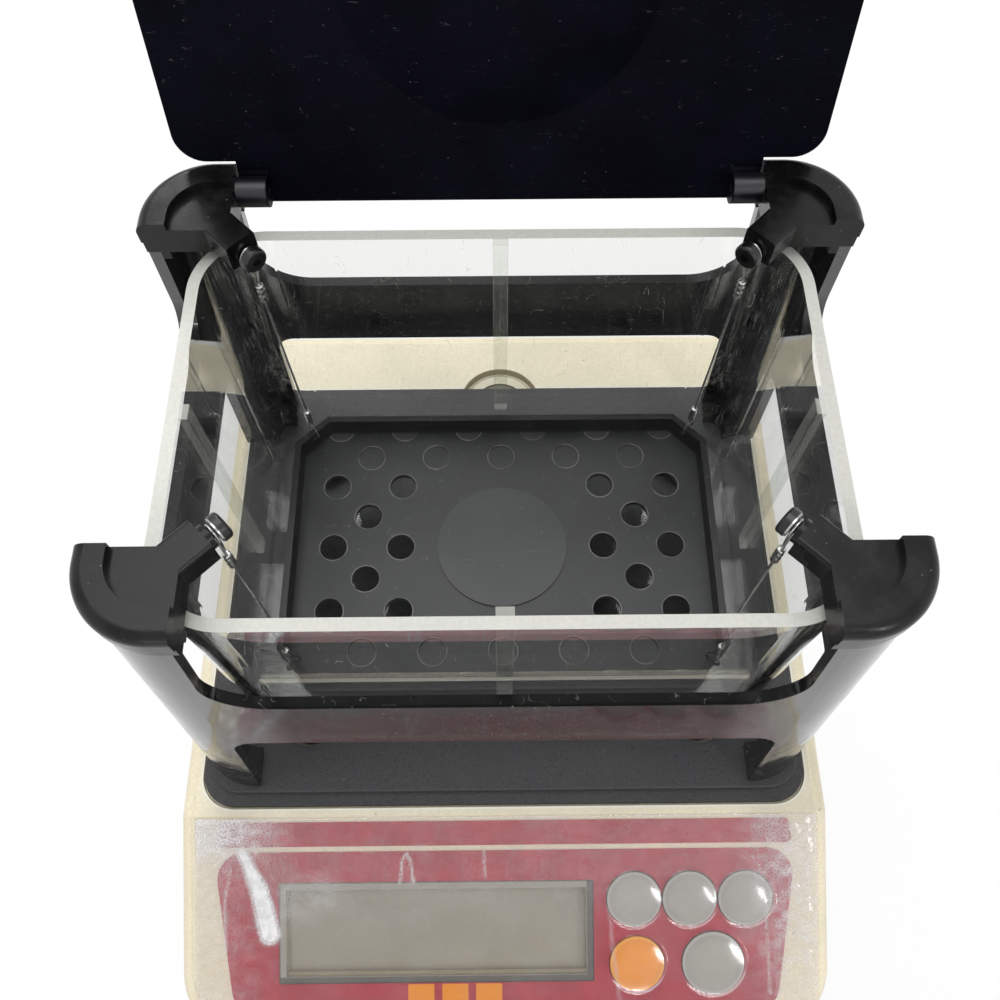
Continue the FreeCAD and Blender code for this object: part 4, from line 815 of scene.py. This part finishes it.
def mesh_object(name, vertices, faces, smooth=True):
    """An object at the origin from whole arrays of vertices and of four-cornered faces."""
    mesh = bpy.data.meshes.new(name)
    mesh.from_pydata(np.asarray(vertices).tolist(), [], np.asarray(faces).tolist())
    mesh.polygons.foreach_set("use_smooth", np.full(len(mesh.polygons), smooth))
    mesh.update()
    made = bpy.data.objects.new(name, mesh)
    bpy.context.scene.collection.objects.link(made)
    return made


def grid_faces(rows, columns, closed):
    """Corners of the faces between a grid's points, whose rows close on themselves if asked."""
    first = np.arange(rows * columns).reshape(rows, columns)
    right = np.roll(first, -1, axis=1) if closed else first[:, 1:]
    left = first if closed else first[:, :-1]
    quads = (left[:-1], right[:-1], right[1:], left[1:])
    return np.stack([quad.ravel() for quad in quads], axis=1)


def lattice_noise(x, y, cell, seed):
    """Value noise: random numbers at a square lattice's corners, with a smooth mix between."""
    count = 64
    table = np.random.default_rng(seed).random((count, count))
    column, row = np.floor(x / cell).astype(int), np.floor(y / cell).astype(int)
    share_x, share_y = x / cell - column, y / cell - row
    share_x = share_x**2 * (3 - 2 * share_x)
    share_y = share_y**2 * (3 - 2 * share_y)

    def across(down):
        left = table[column % count, (row + down) % count]
        right = table[(column + 1) % count, (row + down) % count]
        return left * (1 - share_x) + right * share_x

    return across(0) * (1 - share_y) + across(1) * share_y


def smooth_step(value, low, high):
    """0 below low, 1 above high, and 3t^2 - 2t^3 between, where t is the share of the way."""
    share = np.clip((value - low) / (high - low), 0.0, 1.0)
    return share**2 * (3 - 2 * share)


def line_distance(x, y, points):
    """Distance to the nearest of the straight runs between points, in the plane."""
    nearest = np.full(x.shape, np.inf)
    for (x0, y0), (x1, y1) in zip(points[:-1], points[1:]):
        run_x, run_y = x1 - x0, y1 - y0
        share = ((x - x0) * run_x + (y - y0) * run_y) / (run_x**2 + run_y**2)
        share = np.clip(share, 0.0, 1.0)
        nearest = np.minimum(nearest, np.hypot(x - x0 - share * run_x, y - y0 - share * run_y))
    return nearest


def key_places():
    """x, u and radius of each key on the panel."""
    places = {}
    for name, radius in KEY_RADII.items():
        u = LOWER_KEYS_U if name in ("key_orange", "key_large") else UPPER_KEYS_U
        places[name] = (plan(name)[0][0], u, radius)
    return places


def film_height(x, u, sizes):
    """Height of the film over the cover: the print's top and a gap, raised as a dome over
    each key, plus ridges that grow towards the film's sides."""
    height = np.full(x.shape, PRINT_T + sizes.lift)
    for key_x, key_u, radius in key_places().values():
        away = np.hypot(x - key_x, u - key_u)
        dome = BRIM_RISE + DOME_RISE * (1 - np.minimum(away / radius, 1.0) ** 2) + sizes.lift
        fall = 1 - smooth_step(away, radius + 0.25 * MM, radius + 1.1 * MM)
        height = np.maximum(height, height + (dome - height) * fall)
    side = smooth_step(np.abs(x - 1.5 * MM), 70 * MM, 92 * MM)
    top_side = 1 - smooth_step(u, 4 * MM, 16 * MM)
    loose = 0.05 + 0.95 * np.clip(side + 0.25 * top_side * side, 0.0, 1.0)
    ridge = 1 - np.abs(2 * lattice_noise(x + 0.2, u + 0.2, 3.4 * MM, 5) - 1)
    small = 1 - np.abs(2 * lattice_noise(x + 0.2, u + 0.2, 1.5 * MM, 8) - 1)
    return height + sizes.wrinkle * loose * (0.62 * ridge**2 + 0.38 * small**2)


def film_haze_and_glare(x, u):
    """How milky white the film is, partly milky wear and partly painted glare: a little at its
    top, patches and crackle at its left and right sides that are partly painted glare, one wide
    white streak that is painted glare, and thin bent lines that are painted reflections.
    Lengths are millimetres here."""
    x, u = x / MM, u / MM
    wide = lattice_noise(x + 200, u + 200, 7.0, 21)
    fine = lattice_noise(x + 200, u + 200, 2.2, 22)
    haze = 0.01 + 0.06 * wide + 0.11 * (1 - smooth_step(u, 12, 45))
    # Patches and crackle at the top left corner, the sides and by the display: partly milky wear,
    # partly painted glare
    corner = (1 - smooth_step(x, -90, -60)) * (1 - smooth_step(u, 5, 17))
    haze = haze + corner * (0.6 + 0.6 * fine)
    left = (1 - smooth_step(x, -90, -62)) * (0.12 + 0.4 * fine)
    display_corner = np.exp(-(((x + 60) / 9) ** 2) - ((u - 24) / 6.5) ** 2)
    haze = haze + left * 0.5 + display_corner * (0.1 + 0.35 * wide)
    right = smooth_step(x, 66, 88) * (1 - smooth_step(x, 92, 95)) * (0.1 + 0.6 * fine)
    haze = haze + right * (1 - 0.6 * smooth_step(u, 34, 60))
    haze = np.minimum(haze, 0.95)
    # A wide white streak of painted glare
    streak = [(-78.6, 10.5), (-73.5, 22.0), (-70.5, 35.0)]
    width = 0.1 + 1.3 * smooth_step(u, 8, 30)
    haze = np.maximum(haze, 2 - 2 * smooth_step(line_distance(x, u, streak), width, width + 2.8))
    # Thin bent lines of painted reflection
    lines = (
        ([(-31.4, 20.0), (-30.8, 13.5), (-29.6, 11.2), (-28.4, 13.5), (-27.4, 20.0)], 0.25, 0.75),
        ([(-6.3, 11.0), (-6.0, 18.5)], 0.5, 0.45),
        ([(79.0, 54.0), (78.0, 30.0), (76.0, 16.0), (74.0, 13.0)], 0.3, 0.5),
        ([(-83.6, 40.0), (-83.8, 24.0), (-82.0, 15.0)], 0.35, 0.6),
        ([(30.5, 22.0), (32.0, 40.0), (34.0, 56.0)], 0.5, 0.25),
    )
    for points, half_width, strength in lines:
        near = 1 - smooth_step(line_distance(x, u, points), half_width * 0.4, half_width + 0.5)
        haze = np.maximum(haze, near * strength)
    return np.clip(haze, 0.0, 2.0)


def make_film(sizes):
    """Clear film: a grid in x and u whose height is film_height, turned on to the slope."""
    columns = int((sizes.left + sizes.right) / sizes.step)
    rows = int((sizes.low - sizes.top) / sizes.step)
    x, u = np.meshgrid(
        np.linspace(-sizes.left, sizes.right, columns), np.linspace(sizes.top, sizes.low, rows)
    )
    height = film_height(x, u, sizes)
    cos, sin = math.cos(PANEL_SLOPE), math.sin(PANEL_SLOPE)
    y = CREASE[1] - u * cos - height * sin
    z = CREASE[2] - u * sin + height * cos
    vertices = np.stack([x, y, z], axis=-1).reshape(-1, 3)
    faces = grid_faces(rows, columns, False)[:, ::-1]
    film = mesh_object("panel_film", vertices, faces)
    # This attribute holds both the film's milky wear and its painted glare
    haze = film.data.attributes.new("haze", "FLOAT", "POINT")
    haze.data.foreach_set("value", film_haze_and_glare(x, u).ravel().astype(np.float32))
    solid = film.modifiers.new("thickness", "SOLIDIFY")
    solid.thickness = sizes.thickness
    solid.offset = 1.0
    return film


def teardrop(tip, toward, across, reach, half_width):
    """Loop from its tip and back: along = reach (1 - cos t) / 2 and across = w sin t
    (1 - cos t) / 2, for t from 0 to a whole turn, where 0.65 w is half the widest width."""
    turn = np.linspace(0.0, 2 * math.pi, 48)
    along = (1 - np.cos(turn)) / 2
    sideways = half_width / 0.6495 * np.sin(turn) * along
    return tip + np.outer(along * reach, toward) + np.outer(sideways, across)


def tube(path, side, radius, around=10):
    """Round tube along a path: circles of the radius in the plane of side and of the
    tangent's cross product with it, drawn in to a point at both ends."""
    tangent = np.gradient(path, axis=0)
    tangent /= np.linalg.norm(tangent, axis=1, keepdims=True)
    other = np.cross(tangent, side)
    other /= np.linalg.norm(other, axis=1, keepdims=True)
    side = np.cross(other, tangent)
    radii = np.broadcast_to(radius, len(path))
    path, side, other = (np.concatenate([row[:1], row, row[-1:]]) for row in (path, side, other))
    radii = np.concatenate([[0.0], radii, [0.0]])[:, None, None]
    turn = np.linspace(0.0, 2 * math.pi, around, endpoint=False)[None, :, None]
    ring = np.cos(turn) * side[:, None] + np.sin(turn) * other[:, None]
    points = path[:, None] + radii * ring
    return points.reshape(-1, 3), grid_faces(len(path), around, True)


def crimp_sleeve(start, toward, side, sizes):
    """Sleeve pressed on to two strands: a round bar with rounded ends, narrowed by a cosine
    at three places where the tool bit into it."""
    share = np.linspace(0.0, 1.0, 40)
    path = start + np.outer(share * sizes.sleeve_length, toward)
    bites = 0.13 * (1 - np.cos(2 * math.pi * share * 3)) / 2
    ends = np.sqrt(np.clip(1 - (2 * share - 1) ** 16, 0.0, 1.0))
    radius = sizes.sleeve_radius * (1 - bites) * (0.72 + 0.28 * ends)
    return tube(path, np.broadcast_to(side, path.shape), radius, 14)


def joined(pieces):
    """One array of vertices and one of faces from several."""
    vertices, faces, count = [], [], 0
    for points, quads in pieces:
        vertices.append(points)
        faces.append(quads + count)
        count += len(points)
    return np.concatenate(vertices), np.concatenate(faces)


def make_wire(corner, sizes):
    """Hanger wire: a teardrop loop through the tray's corner, a straight run, and a
    teardrop loop round the screw, with a crimp sleeve and a short tail at both."""
    low_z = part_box("wire_" + corner)[0].z + sizes.radius
    tray_low, tray_high = (np.array(point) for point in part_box("tray"))
    middle_y = ((tray_low + tray_high) / 2)[1]
    out_x = 1.0 if corner.endswith("right") else -1.0
    out_y = 1.0 if corner.startswith("rear") else -1.0
    outward = np.array([out_x, out_y, 0.0]) * math.sqrt(0.5)
    beside = np.array([-out_x, out_y, 0.0]) * math.sqrt(0.5)
    up = np.array([0.0, 0.0, 1.0])
    upper = np.array([out_x * UPPER_HOOK[0], middle_y + out_y * UPPER_HOOK[1], HOOK_Z])
    lower = np.array([out_x * LOWER_HOOK[0], middle_y + out_y * LOWER_HOOK[1], low_z])
    upper_top = upper + up * sizes.upper_half_w
    upper_tip = upper - up * sizes.upper_drop
    lower_tip = lower + up * sizes.lower_rise
    run = upper_tip - lower_tip
    run /= np.linalg.norm(run)
    first = teardrop(lower_tip, -up, outward, lower_tip[2] - lower[2], sizes.lower_half_w)
    last = teardrop(upper_tip, up, beside, upper_top[2] - upper_tip[2], sizes.upper_half_w)
    share = np.linspace(0.0, 1.0, 26)[1:-1]
    straight = lower_tip + np.outer(share, upper_tip - lower_tip)
    path = np.concatenate([first, straight, last])
    # The tube's side turns by a quarter along the straight run, from one loop to the other
    quarter = np.concatenate([np.zeros(len(first)), share, np.ones(len(last))]) * math.pi / 2
    side = np.outer(np.cos(quarter), beside) + np.outer(np.sin(quarter), outward)
    pieces = [tube(path, side, sizes.radius)]
    for tip, toward, strand_side in ((lower_tip, run, outward), (upper_tip, -run, beside)):
        pieces.append(crimp_sleeve(tip - toward * 0.2 * MM, toward, beside, sizes))
        start = tip + toward * sizes.sleeve_length * 0.8 + strand_side * sizes.radius * 1.1
        way = toward * sizes.tail + strand_side * 0.2 * MM
        tail = start + np.outer(np.linspace(0.0, 1.0, 8), way)
        flat = np.cross(toward, strand_side)
        pieces.append(tube(tail, np.broadcast_to(flat, tail.shape), sizes.radius, 8))
    return mesh_object("hanger_wire_" + corner, *joined(pieces))


# Operators


class Housing(bpy.types.Operator):
    """Finish the ivory housing"""

    bl_idname = "balance.housing"
    bl_label = "Housing"

    def execute(self, context):
        paint(ivory_plastic(context.scene.balance_colours), "housing_cover", "housing_base")
        return {"FINISHED"}


class PanelAndDisplay(bpy.types.Operator):
    """Finish the printed panel and the display, and lay the worn film, with its painted glare,
    over them
    """

    bl_idname = "balance.panel"
    bl_label = "Panel and display"

    def execute(self, context):
        colours = context.scene.balance_colours
        paint(printed_overlay(colours, True), "panel_overlay")
        paint(printed_overlay(colours, False), "overlay_strip")
        paint(display_glass(colours), "lcd_glass")
        paint(display_window(colours), "lcd_window")
        film = make_film(context.scene.balance_film)
        film.data.materials.append(worn_film_with_glare())
        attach(film, "housing")
        return {"FINISHED"}


class Keys(bpy.types.Operator):
    """Finish the five domed keys"""

    bl_idname = "balance.keys"
    bl_label = "Keys"

    def execute(self, context):
        colours = context.scene.balance_colours
        for name, (x, u, radius) in key_places().items():
            base = colours.key_orange if name == "key_orange" else colours.key_grey
            paint(key_plastic(name + "_plastic", base, x, u, radius), name)
        return {"FINISHED"}


class WeighingPlate(bpy.types.Operator):
    """Finish the grained plate"""

    bl_idname = "balance.plate"
    bl_label = "Weighing plate"

    def execute(self, context):
        paint(grained_black(context.scene.balance_colours), "weighing_plate")
        return {"FINISHED"}


class FrameAndLid(bpy.types.Operator):
    """Finish the frame, its caps, the lid and their small metal parts"""

    bl_idname = "balance.frame"
    bl_label = "Frame and lid"

    def execute(self, context):
        colours = context.scene.balance_colours
        paint(gloss_black(colours), "frame_wall")
        caps = satin_black("cap_satin", colours.cap_black, 0.4 * MM, 0.2, 0.3, 0.25)
        paint(caps, *("cap_" + corner for corner in CORNERS))
        paint(lid_black(colours), "lid")
        screw = satin_black("black_screw", colours.cap_black, 0.25 * MM, 0.28, 0.4, 0.5)
        paint(screw, "hanger_screws")
        paint(bare_metal("washer_steel", colours.steel, (1, 1, 1), 0.16), "hanger_washers")
        paint(bare_metal("pin_steel", colours.steel, (0.1, 1, 1), 0.2), "hinge_pins")
        return {"FINISHED"}


class Tank(bpy.types.Operator):
    """Finish the clear tank, its strips and what it stands on"""

    bl_idname = "balance.tank"
    bl_label = "Tank"

    def execute(self, context):
        colours = context.scene.balance_colours
        paint(clear_acrylic(colours), "tank")
        paint(strip_acrylic(colours), "tank_strips")
        paint(plain_plastic("pillar_plastic", shade(58, 58, 60), 0.42), "tank_pillars")
        paint(plain_plastic("pad_rubber", colours.rubber, 0.68), "pillar_pads")
        return {"FINISHED"}


class TrayAndWires(bpy.types.Operator):
    """Finish the tray and make the looped hanger wires"""

    bl_idname = "balance.tray"
    bl_label = "Tray and wires"

    def execute(self, context):
        colours = context.scene.balance_colours
        paint(tray_plastic(colours), "tray")
        steel = bare_metal("wire_steel", colours.steel, (1, 1, 0.08), 0.2)
        for corner in CORNERS:
            wire = make_wire(corner, context.scene.balance_wires)
            wire.data.materials.append(steel)
            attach(wire, "right_wires" if corner.endswith("right") else "left_wires")
            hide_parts("wire_" + corner)
        return {"FINISHED"}


class BubbleLevel(bpy.types.Operator):
    """Finish the bubble level"""

    bl_idname = "balance.level"
    bl_label = "Bubble level"

    def execute(self, context):
        paint(level_plastic(), "level_bezel")
        paint(level_liquid(), "level_vial")
        return {"FINISHED"}


class Underside(bpy.types.Operator):
    """Finish the feet, screws and what is inside the housing"""

    bl_idname = "balance.underside"
    bl_label = "Feet and inside"

    def execute(self, context):
        colours = context.scene.balance_colours
        wheel = plain_plastic("foot_plastic", shade(44, 44, 47), 0.42)
        paint(wheel, *("foot_" + corner for corner in CORNERS))
        rubber = plain_plastic("foot_rubber", colours.rubber, 0.7)
        paint(rubber, *("foot_pad_" + corner for corner in CORNERS))
        black = plain_plastic("black_plastic", shade(30, 30, 32), 0.4)
        paint(black, "lcd_frame", "power_jack", "key_switches", "pan_support")
        paint(circuit_board(), "main_board")
        screw_steel = bare_metal("screw_steel", colours.steel, (1, 1, 0.2), 0.24)
        paint(screw_steel, "housing_screws", "board_screws")
        cell = bare_metal("cell_aluminium", shade(196, 198, 202), (0.06, 1, 1), 0.3)
        paint(cell, "load_cell", "load_cell_mount")
        return {"FINISHED"}


class Studio(bpy.types.Operator):
    """Lay the floor and set the lamps, the sky and the camera"""

    bl_idname = "balance.studio"
    bl_label = "Studio"

    def seen_directly(self, tree):
        """1 for rays from the eye, from gloss and through glass, and 0 for the rest."""
        path = tree.nodes.new("ShaderNodeLightPath").outputs
        last = path["Is Camera Ray"]
        for name in ("Is Glossy Ray", "Is Transmission Ray"):
            larger = tree.nodes.new("ShaderNodeMath")
            larger.operation = "MAXIMUM"
            tree.links.new(last, larger.inputs[0])
            tree.links.new(path[name], larger.inputs[1])
            last = larger.outputs[0]
        return last

    def floor(self, settings):
        """White floor that keeps the object's shadow but looks plain white elsewhere."""
        half = settings.floor_w / 2
        corners = [(-half, -half, 0.0), (half, -half, 0.0), (half, half, 0.0), (-half, half, 0.0)]
        floor = mesh_object("studio_floor", corners, [(0, 1, 2, 3)], False)
        look = Finish("studio_floor")
        paper = look.mix(look.noise(0.3, 2.0), (0.86, 0.86, 0.86), (0.9, 0.9, 0.9))
        matt = look.add("ShaderNodeBsdfDiffuse", {"Color": paper})
        glow = look.add("ShaderNodeEmission", {"Color": (1, 1, 1), "Strength": 1.0})
        share = look.times(self.seen_directly(look.tree), settings.floor_glow)
        floor.data.materials.append(look.done(look.layer(share, matt, glow)))

    def sky(self, context, strength):
        """Even light from all round, plain white where it is seen."""
        world = bpy.data.worlds.new("studio_sky")
        context.scene.world = world
        world.use_nodes = True
        tree = world.node_tree
        ground = tree.nodes["Background"]
        ground.inputs["Color"].default_value = (1, 1, 1, 1)
        level = tree.nodes.new("ShaderNodeMapRange")
        tree.links.new(self.seen_directly(tree), level.inputs["Value"])
        level.inputs["To Min"].default_value = strength
        level.inputs["To Max"].default_value = 1.0
        tree.links.new(level.outputs[0], ground.inputs["Strength"])

    def lamp(self, context, name, place, size, power):
        """A soft oval lamp at a place, facing the middle of the object."""
        light = bpy.data.lights.new(name, "AREA")
        light.shape = "ELLIPSE"
        light.size, light.size_y = size
        light.energy = power
        lamp = bpy.data.objects.new(name, light)
        context.scene.collection.objects.link(lamp)
        lamp.location = place
        facing = Vector((0.0, 0.0, 0.08)) - Vector(place)
        lamp.rotation_euler = facing.to_track_quat("-Z", "Y").to_euler()

    def camera(self, context, settings):
        """Camera at its place, turned by yaw, pitch and roll."""
        camera_data = bpy.data.cameras.new("camera")
        camera_data.lens = settings.lens
        camera_data.sensor_width = 36.0
        camera_data.clip_start, camera_data.clip_end = 0.01, 50.0
        camera = bpy.data.objects.new("camera", camera_data)
        context.scene.collection.objects.link(camera)
        turn = (
            Matrix.Rotation(-settings.yaw, 4, "Z")
            @ Matrix.Rotation(math.pi / 2 - settings.pitch, 4, "X")
            @ Matrix.Rotation(settings.roll, 4, "Z")
        )
        camera.matrix_world = Matrix.Translation(Vector(settings.camera_place)) @ turn
        context.scene.camera = camera

    def execute(self, context):
        settings = context.scene.balance_studio
        self.floor(settings)
        self.sky(context, settings.sky)
        self.lamp(context, "top_lamp", (-0.1, 0.25, 1.3), (1.1, 1.1), settings.top_power)
        self.lamp(context, "rear_lamp", (-0.2, 1.0, 0.85), (0.6, 0.3), settings.rear_power)
        self.lamp(context, "side_lamp", (0.72, -0.83, 0.8), (0.09, 0.5), settings.side_power)
        self.lamp(context, "low_lamp", (-0.05, -1.15, 0.19), (0.9, 0.06), settings.low_power)
        self.camera(context, settings)
        context.scene.view_settings.view_transform = "Standard"
        return {"FINISHED"}


OPERATORS = (
    Housing,
    PanelAndDisplay,
    Keys,
    WeighingPlate,
    FrameAndLid,
    Tank,
    TrayAndWires,
    BubbleLevel,
    Underside,
    Studio,
)
GROUPS = {
    "balance_colours": BalanceColours,
    "balance_film": FilmSizes,
    "balance_wires": WireSizes,
    "balance_studio": StudioSettings,
}


class BalancePanel(bpy.types.Panel):
    """Sidebar panel with the balance's sizes, colours and steps"""

    bl_idname = "VIEW3D_PT_balance"
    bl_label = "Gold density balance"
    bl_space_type = "VIEW_3D"
    bl_region_type = "UI"
    bl_category = "Balance"

    def draw(self, context):
        for name, group in GROUPS.items():
            box = self.layout.box()
            box.label(text=group.__doc__)
            for key in group.__annotations__:
                box.prop(getattr(context.scene, name), key)
        for operator in OPERATORS:
            self.layout.operator(operator.bl_idname)


def register():
    for made in (*GROUPS.values(), *OPERATORS, BalancePanel):
        bpy.utils.register_class(made)
    for name, group in GROUPS.items():
        setattr(bpy.types.Scene, name, bpy.props.PointerProperty(type=group))


def unregister():
    for name in GROUPS:
        delattr(bpy.types.Scene, name)
    for made in (BalancePanel, *reversed(OPERATORS), *reversed(list(GROUPS.values()))):
        bpy.utils.unregister_class(made)


def main():
    """Builds every look and piece in order."""
    register()
    for operator in OPERATORS:
        group, name = operator.bl_idname.split(".")
        getattr(getattr(bpy.ops, group), name)()


if __name__ == "__main__":
    main()
